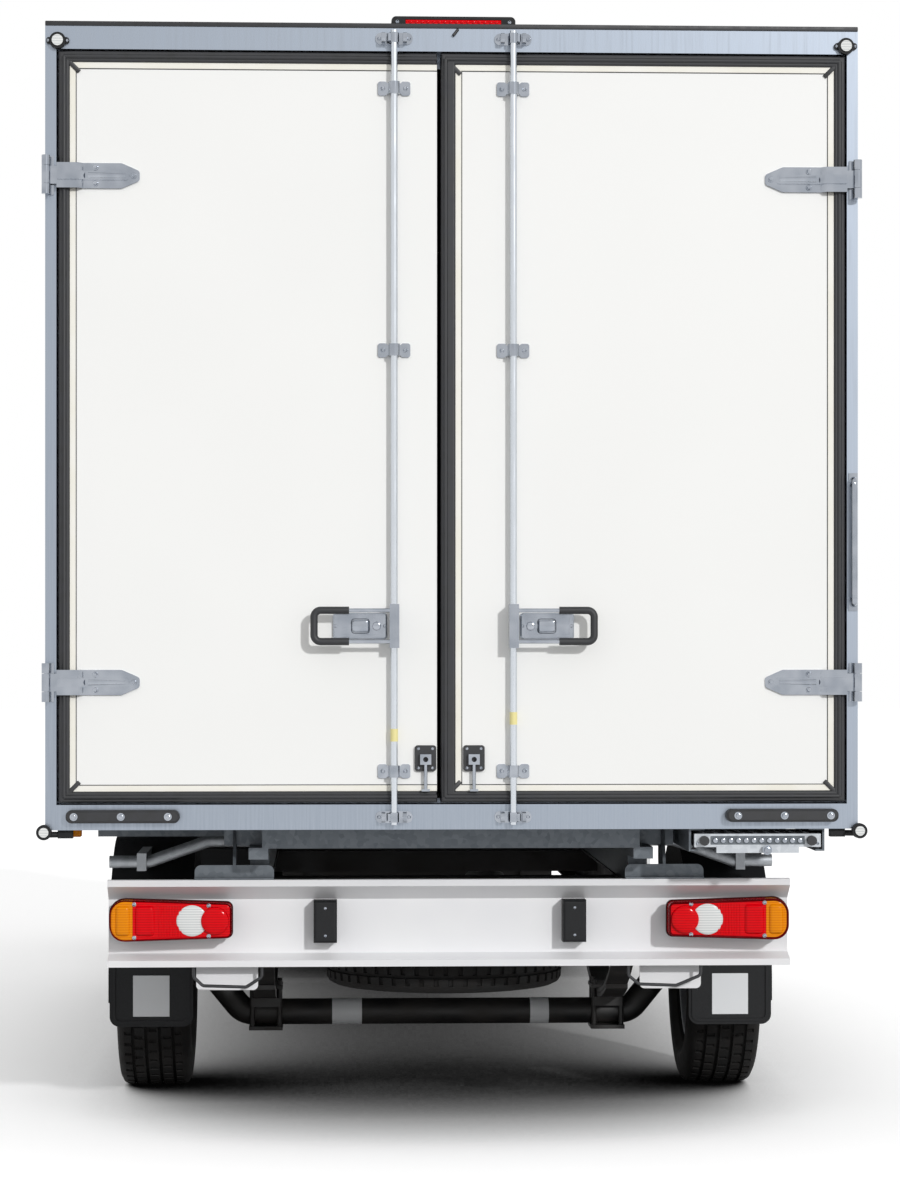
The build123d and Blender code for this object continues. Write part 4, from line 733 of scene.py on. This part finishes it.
# Moulded rim round each lens, on the lens's own outline. Each end has its place across, its half height
# and its corner radius.
rim_ends = ((lamp_end, 58 * mm, 42 * mm), (lamp_end - 335 * mm, 47 * mm, 14 * mm))
rim_width, rim_proud, rim_depth, rim_round = 9 * mm, 2 * mm, 14 * mm, 2 * mm
rim_back_y = lens_low.y + rim_depth - rim_proud
whole = bmesh.new()
for sign in sides.values():
    rim = bmesh.new()
    (low_out, high_out), (low_in, high_in) = [
        [rim.verts.new((sign * across, rim_back_y, lamp_z + up * half)) for up in (-1, 1)]
        for across, half, radius in rim_ends]
    rim.faces.new((low_out, high_out, high_in, low_in))
    for corners, (across, half, radius) in zip(((low_out, high_out), (low_in, high_in)), rim_ends):
        bmesh.ops.bevel(rim, geom=corners, offset=radius, segments=8, profile=0.5, affect="VERTICES",
                        material=-1)
    front = bmesh.ops.extrude_face_region(rim, geom=rim.faces[:])["geom"]
    crest = [part for part in front if isinstance(part, bmesh.types.BMFace)]
    bmesh.ops.translate(rim, vec=(0, -rim_depth, 0), verts=crest[0].verts)
    bmesh.ops.inset_region(rim, faces=crest, thickness=rim_round, depth=rim_round)
    bmesh.ops.inset_region(rim, faces=crest, thickness=rim_width - rim_round)
    bmesh.ops.translate(rim, vec=(0, rim_depth / 2, 0), verts=crest[0].verts)
    bmesh.ops.recalc_face_normals(rim, faces=rim.faces)
    join(whole, rim)
piece("lamp_rims", whole, lamp_rim, "truck")

# Blank films: on each mud flap, and wrapped round the axle beam
flap_low, flap_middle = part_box("rear_mudguards")[0], 862.5 * mm
beam_radius, beam_y, beam_z = 40 * mm, tyre_places["rear_left"][0].y + tyre_radius, 222 * mm
film_half, film_z = 54 * mm, (flap_low.z + 30 * mm, flap_low.z + 152 * mm)
film_y = (flap_low.y + 2.5 * mm, flap_low.y + 4.5 * mm)
beam_films = ((-325 * mm, 92 * mm), (290 * mm, 58 * mm))    # start and length
film_thickness = 0.6 * mm
whole = bmesh.new()
for sign in sides.values():
    middle = sign * flap_middle
    join(whole, slab((middle - film_half, film_y[0], film_z[0]),
                     (middle + film_half, film_y[1], film_z[1]), film_thickness, 1))
for x, length in beam_films:
    join(whole, drum(beam_radius + film_thickness, length, 40), stand((x, beam_y, beam_z), (1, 0, 0)))
piece("blank_films", whole, blank_film, "truck")

# Upright ribs pressed into part of each red lens
rib_start, rib_count, rib_pitch = 744 * mm, 9, 7.6 * mm
rib_half, rib_y = 2 * mm, (lens_low.y - 1.6 * mm, lens_low.y + 1 * mm)
whole = bmesh.new()
for sign in sides.values():
    for number in range(rib_count):
        x = sign * (rib_start + number * rib_pitch)
        join(whole, slab((x - rib_half, rib_y[0], lamp_z - field_half),
                         (x + rib_half, rib_y[1], lamp_z + field_half), 1.2 * mm))
piece("lamp_ribs", whole, red_lens, "truck")

# Front of the step: a channel in the shade-darkened galvanised, its darkness painted shade, with a row of
# bright studs, its latch bolt and its end screws
step_face_y, step_z = rear_y + 8 * mm, 828 * mm
stud_row, stud_count, channel_past = (712 * mm, 943 * mm), 12, 13 * mm
stud_radius, stud_height = 7.5 * mm, 7 * mm
channel_y, channel_z = (step_face_y - 1.5 * mm, step_face_y + 1 * mm), (step_z - 11 * mm, step_z + 12 * mm)
latch_place = (851.5 * mm, rear_y - 7 * mm, 803 * mm)
end_screw_xs, end_screw_z = (663 * mm, 992 * mm), step_z - 8 * mm
whole = slab((stud_row[0] - channel_past, channel_y[0], channel_z[0]),
             (stud_row[1] + channel_past, channel_y[1], channel_z[1]), 0.6 * mm, 1)
piece("step_channel", whole, shade_darkened_galvanised, "step")
whole = bmesh.new()
for number in range(stud_count):
    x = stud_row[0] + (stud_row[1] - stud_row[0]) * number / (stud_count - 1)
    join(whole, drum(stud_radius, stud_height, 16, 3 * mm), stand((x, step_face_y, step_z)))
join(whole, bolt_head(9 * mm), stand(latch_place))
for x in end_screw_xs:
    join(whole, screw_head(small_screw), stand((x, step_face_y, end_screw_z)))
piece("step_studs", whole, zinc, "step")

# Marker tape round the lock rods
tape_heights = {"left": 1116 * mm, "right": 1161 * mm}
tape_length, tape_thickness = 34 * mm, 0.8 * mm
for side, sign in sides.items():
    whole = drum(rod_radius + tape_thickness, tape_length, 20)
    whole.transform(Matrix.Translation((sign * lock_rod_x, rod_y, tape_heights[side] - tape_length / 2)))
    piece(f"{side}_rod_tape", whole, yellow_tape, f"{side}_rear_door")

# Seats: stuffed pads, swollen by a cloth simulation, on plain bases
front_axle_y = (tyre_places["front_left"][0].y + tyre_places["front_left"][1].y) / 2
seat_floor_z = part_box("seats")[0].z
swell, grid, corner = 12 * mm, 12 * mm, 26 * mm
cushion_y, back_y, head_y = (-1060 * mm, -615 * mm), (-1148 * mm, -1062 * mm), (-1142 * mm, -1062 * mm)
cushion_z, back_z, head_z = (831 * mm, 965 * mm), (880 * mm, 1560 * mm), (1600 * mm, 1760 * mm)
seat_rows = {"driver": (-715 * mm, -245 * mm, 1), "passenger": (20 * mm, 850 * mm, 2)}   # sides and places
bench_inset, bench_y, bench_top_z = 40 * mm, (-1050 * mm, -640 * mm), 830 * mm
head_half, post_reach = 125 * mm, 60 * mm
post_y, post_low_z, post_radius, post_length = -1102 * mm, 1540 * mm, 7 * mm, 90 * mm
pressure, last_frame = 4, 20
pads, frames = [], bmesh.new()
for seat, (left, right, places) in seat_rows.items():
    pads += [(f"{seat}_cushion", (left, right), cushion_y, cushion_z),
             (f"{seat}_back", (left, right), back_y, back_z)]
    join(frames, slab((left + bench_inset, front_axle_y + bench_y[0], seat_floor_z),
                      (right - bench_inset, front_axle_y + bench_y[1], bench_top_z), 12 * mm))
    for number in range(places):
        middle = left + (right - left) * (number + 0.5) / places
        pads.append((f"{seat}_head_{number}", (middle - head_half, middle + head_half), head_y, head_z))
        for reach in (-post_reach, post_reach):
            foot = (middle + reach, front_axle_y + post_y, post_low_z)
            join(frames, drum(post_radius, post_length, 16), stand(foot, (0, 0, 1)))
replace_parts(piece("seat_frames", frames, black_plastic, "truck"), "seats")
stuffed = []
for name, x, y, z in pads:
    low = Vector((x[0], front_axle_y + y[0], z[0])) + Vector((swell, swell, swell))
    high = Vector((x[1], front_axle_y + y[1], z[1])) - Vector((swell, swell, swell))
    pad = piece(name, slab(low, high, corner, 4), seat_cloth, "truck")
    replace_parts(pad, "seats")
    stuffed.append(pad)
starts = {}
for pad in stuffed:
    even = pad.modifiers.new("even_grid", "REMESH")
    even.mode, even.voxel_size = "VOXEL", grid
    mesh = bpy.data.meshes.new_from_object(pad.evaluated_get(bpy.context.evaluated_depsgraph_get()))
    pad.modifiers.clear()
    pad.data = mesh
    starts[pad.name] = [vertex.co.copy() for vertex in mesh.vertices]
    filling = pad.modifiers.new("filling", "CLOTH")
    filling.settings.use_pressure = True
    filling.settings.uniform_pressure_force = pressure
    filling.settings.effector_weights.gravity = 0
for moment in range(1, last_frame + 1):
    bpy.context.scene.frame_set(moment)
for pad in stuffed:
    swollen = pad.evaluated_get(bpy.context.evaluated_depsgraph_get()).to_mesh()
    places = [vertex.co.copy() for vertex in swollen.vertices]
    pad.evaluated_get(bpy.context.evaluated_depsgraph_get()).to_mesh_clear()
    pad.modifiers.clear()
    for vertex, start, end in zip(pad.data.vertices, starts[pad.name], places):
        move = end - start
        vertex.co = start + move * min(1.0, swell / max(move.length, 1e-9))
    pad.data.polygons.foreach_set("use_smooth", [True] * len(pad.data.polygons))
    finer = pad.modifiers.new("finer", "SUBSURF")
    finer.levels = finer.render_levels = 1
bpy.context.scene.frame_set(1)

# Cab trim: door handles and wipers, laid on the panels where a ray meets them
pull_y, pull_z = front_axle_y - 900 * mm, 1130 * mm
pull_half_length, pull_half_height, pull_sunk, pull_proud = 85 * mm, 15 * mm, 6 * mm, 17 * mm
outside, ahead = 2, 5    # where the rays start, metres from the middle
for side, sign in sides.items():
    spot = nodes[f"cab_door_{side}"].ray_cast((sign * outside, pull_y, pull_z), (-sign, 0, 0))[1]
    pull_x = sorted((spot.x - sign * pull_sunk, spot.x + sign * pull_proud))
    whole = slab((pull_x[0], spot.y - pull_half_length, spot.z - pull_half_height),
                 (pull_x[1], spot.y + pull_half_length, spot.z + pull_half_height), 7 * mm, 3)
    piece(f"{side}_cab_handle", whole, black_plastic, f"{side}_cab_door")
# Points along each wiper: x and z, in millimetres
wiper_paths = [((-60, 1405), (-330, 1425), (-640, 1440)), ((560, 1405), (290, 1425), (-20, 1450))]
wiper_lift, wiper_radius, pivot_radius, pivot_length = 11 * mm, 6 * mm, 15 * mm, 22 * mm
whole = bmesh.new()
for wiper in wiper_paths:
    spots = []
    for x, z in wiper:
        spot, normal = nodes["windscreen"].ray_cast((x * mm, ahead, z * mm), (0, -1, 0))[1:3]
        spots.append(spot + normal * wiper_lift)
    for start, end in zip(spots, spots[1:]):
        join(whole, drum(wiper_radius, (end - start).length, 10), stand(start, end - start))
    pivot = drum(pivot_radius, pivot_length, 16, 3 * mm)
    join(whole, pivot, stand(spots[0] - Vector((0, pivot_length / 2, 0)), (0, 1, 0)))
piece("wipers", whole, black_plastic, "truck")

# Small lights and ends on the frame: diodes of the brake lamp, a cable end, a side lamp under the sill
whole = bmesh.new()
diodes, diode_pitch, diode_radius, diode_proud = 16, 15.5 * mm, 4 * mm, 2.2 * mm
diode_y = rear_y + 8 * mm
for number in range(diodes):
    x = (number - (diodes - 1) / 2) * diode_pitch
    join(whole, drum(diode_radius, diode_proud, 12, 1 * mm), stand((x, diode_y, brake_lamp_z)))
piece("brake_diodes", whole, red_lens, "truck")
cable_radius, cable_length = 4 * mm, 24 * mm
cable_place, cable_way = (12 * mm, rear_y + 1 * mm, box_top_z - 6 * mm), (-0.55, -0.35, -0.75)
whole = drum(cable_radius, cable_length, 12, 1 * mm)
whole.transform(stand(cable_place, cable_way))
piece("cable_end", whole, rubber, "truck")
side_lamp = Vector((-1030 * mm, rear_y + 110 * mm, portal_low.z))
lamp_side, lamp_drop = Vector((20 * mm, 12 * mm, 0)), Vector((0, 0, 24 * mm))
whole = slab(side_lamp - lamp_side - lamp_drop, side_lamp + lamp_side, 5 * mm, 3)
piece("side_lamp", whole, amber_lens, "truck")

# Black drip edge along the top of the portal frame
drip_y, drip_z = (rear_y - 3 * mm, rear_y + 26 * mm), (box_top_z - 4 * mm, box_top_z + 9 * mm)
whole = slab((-box_half, drip_y[0], drip_z[0]), (box_half, drip_y[1], drip_z[1]), 2 * mm)
piece("drip_edge", whole, rubber, "truck")


# Stage: pale floor, soft sky and one low sun over the camera's right shoulder
def background_rays(tree):
    """One for rays that show the background: from the camera, off a mirror or through glass."""
    path = put(tree, "ShaderNodeLightPath")
    seen = path.outputs["Is Camera Ray"]
    for ray in ("Is Glossy Ray", "Is Transmission Ray"):
        seen = put(tree, "ShaderNodeMath", links={0: seen, 1: path.outputs[ray]},
                   operation="MAXIMUM").outputs["Value"]
    return seen


floor_half, shade_reach, shade_stops, white_lift = 60, 3.0, (0.1, 0.6), 0.26
floor_mesh = bmesh.new()
bmesh.ops.create_grid(floor_mesh, x_segments=1, y_segments=1, size=floor_half)
mesh = bpy.data.meshes.new("studio_floor")
floor_mesh.to_mesh(mesh)
floor_mesh.free()
floor = bpy.data.objects.new("studio_floor", mesh)
bpy.context.scene.collection.objects.link(floor)
# Matt studio paint: white to the eye with the truck's shadow on it, and mid grey in the light it sends
# up. Ambient occlusion darkens its colour and glow, deepest close under the truck: painted shade.
floor_paint, tree, shader = coat("studio_floor_paint", "8A8A8A", 0.9, Specular_IOR_Level=0.0)
near = put(tree, "ShaderNodeAmbientOcclusion", {"Distance": shade_reach}, samples=32)
shade = put(tree, "ShaderNodeValToRGB", links={"Fac": near.outputs["AO"]})
for stop, place, colour in zip(shade.color_ramp.elements, shade_stops, ("0C0C0C", "F4F4F4")):
    stop.position = place
    stop.color = linear(colour)
white = put(tree, "ShaderNodeBsdfDiffuse", links={"Color": shade.outputs["Color"]})
lift = put(tree, "ShaderNodeEmission", {"Strength": white_lift}, {"Color": shade.outputs["Color"]})
shown = put(tree, "ShaderNodeAddShader", links={0: white.outputs["BSDF"], 1: lift.outputs["Emission"]})
mixed = put(tree, "ShaderNodeMixShader",
            links={0: background_rays(tree), 1: shader.outputs["BSDF"], 2: shown.outputs["Shader"]})
output = next(node for node in tree.nodes if node.type == "OUTPUT_MATERIAL")
tree.links.new(mixed.outputs["Shader"], output.inputs["Surface"])
mesh.materials.append(floor_paint)

# World: even soft light, and a white backdrop that metal and glass show too
world = bpy.data.worlds.new("studio")
bpy.context.scene.world = world
world.use_nodes = True
tree = world.node_tree
tree.nodes.clear()
sky_level, backdrop_level = 0.85, 1.0
soft = put(tree, "ShaderNodeBackground", {"Color": linear("FAFAFA"), "Strength": sky_level})
white = put(tree, "ShaderNodeBackground", {"Color": linear("FFFFFF"), "Strength": backdrop_level})
shown = put(tree, "ShaderNodeMixShader",
            links={0: background_rays(tree), 1: soft.outputs["Background"], 2: white.outputs["Background"]})
put(tree, "ShaderNodeOutputWorld", links={"Surface": shown.outputs["Shader"]})

sun_level, sun_spread, sun_way = 1.7, math.radians(3), Vector((-0.48, 1.0, -0.43))
sun = bpy.data.objects.new("studio_sun", bpy.data.lights.new("studio_sun", "SUN"))
sun.data.energy = sun_level
sun.data.angle = sun_spread
sun.rotation_euler = sun_way.to_track_quat("-Z", "Y").to_euler()
bpy.context.scene.collection.objects.link(sun)

# Camera: level, with the frame shifted up, as the photograph's upright lines show
photo_height = 1182
horizon_px = 649.8
focal_px = 3164.0
sensor_mm = 36
camera_data = bpy.data.cameras.new("camera")
camera = bpy.data.objects.new("camera", camera_data)
bpy.context.scene.collection.objects.link(camera)
camera.location = (-0.3483, -11.7604, 1.3460)
camera.rotation_euler = (math.radians(90), 0, -0.039586)
camera_data.sensor_width = sensor_mm
camera_data.lens = sensor_mm * focal_px / photo_height
camera_data.shift_y = (horizon_px - photo_height / 2) / photo_height
camera_data.clip_end = 200
bpy.context.scene.camera = camera
bpy.context.scene.view_settings.view_transform = "Standard"
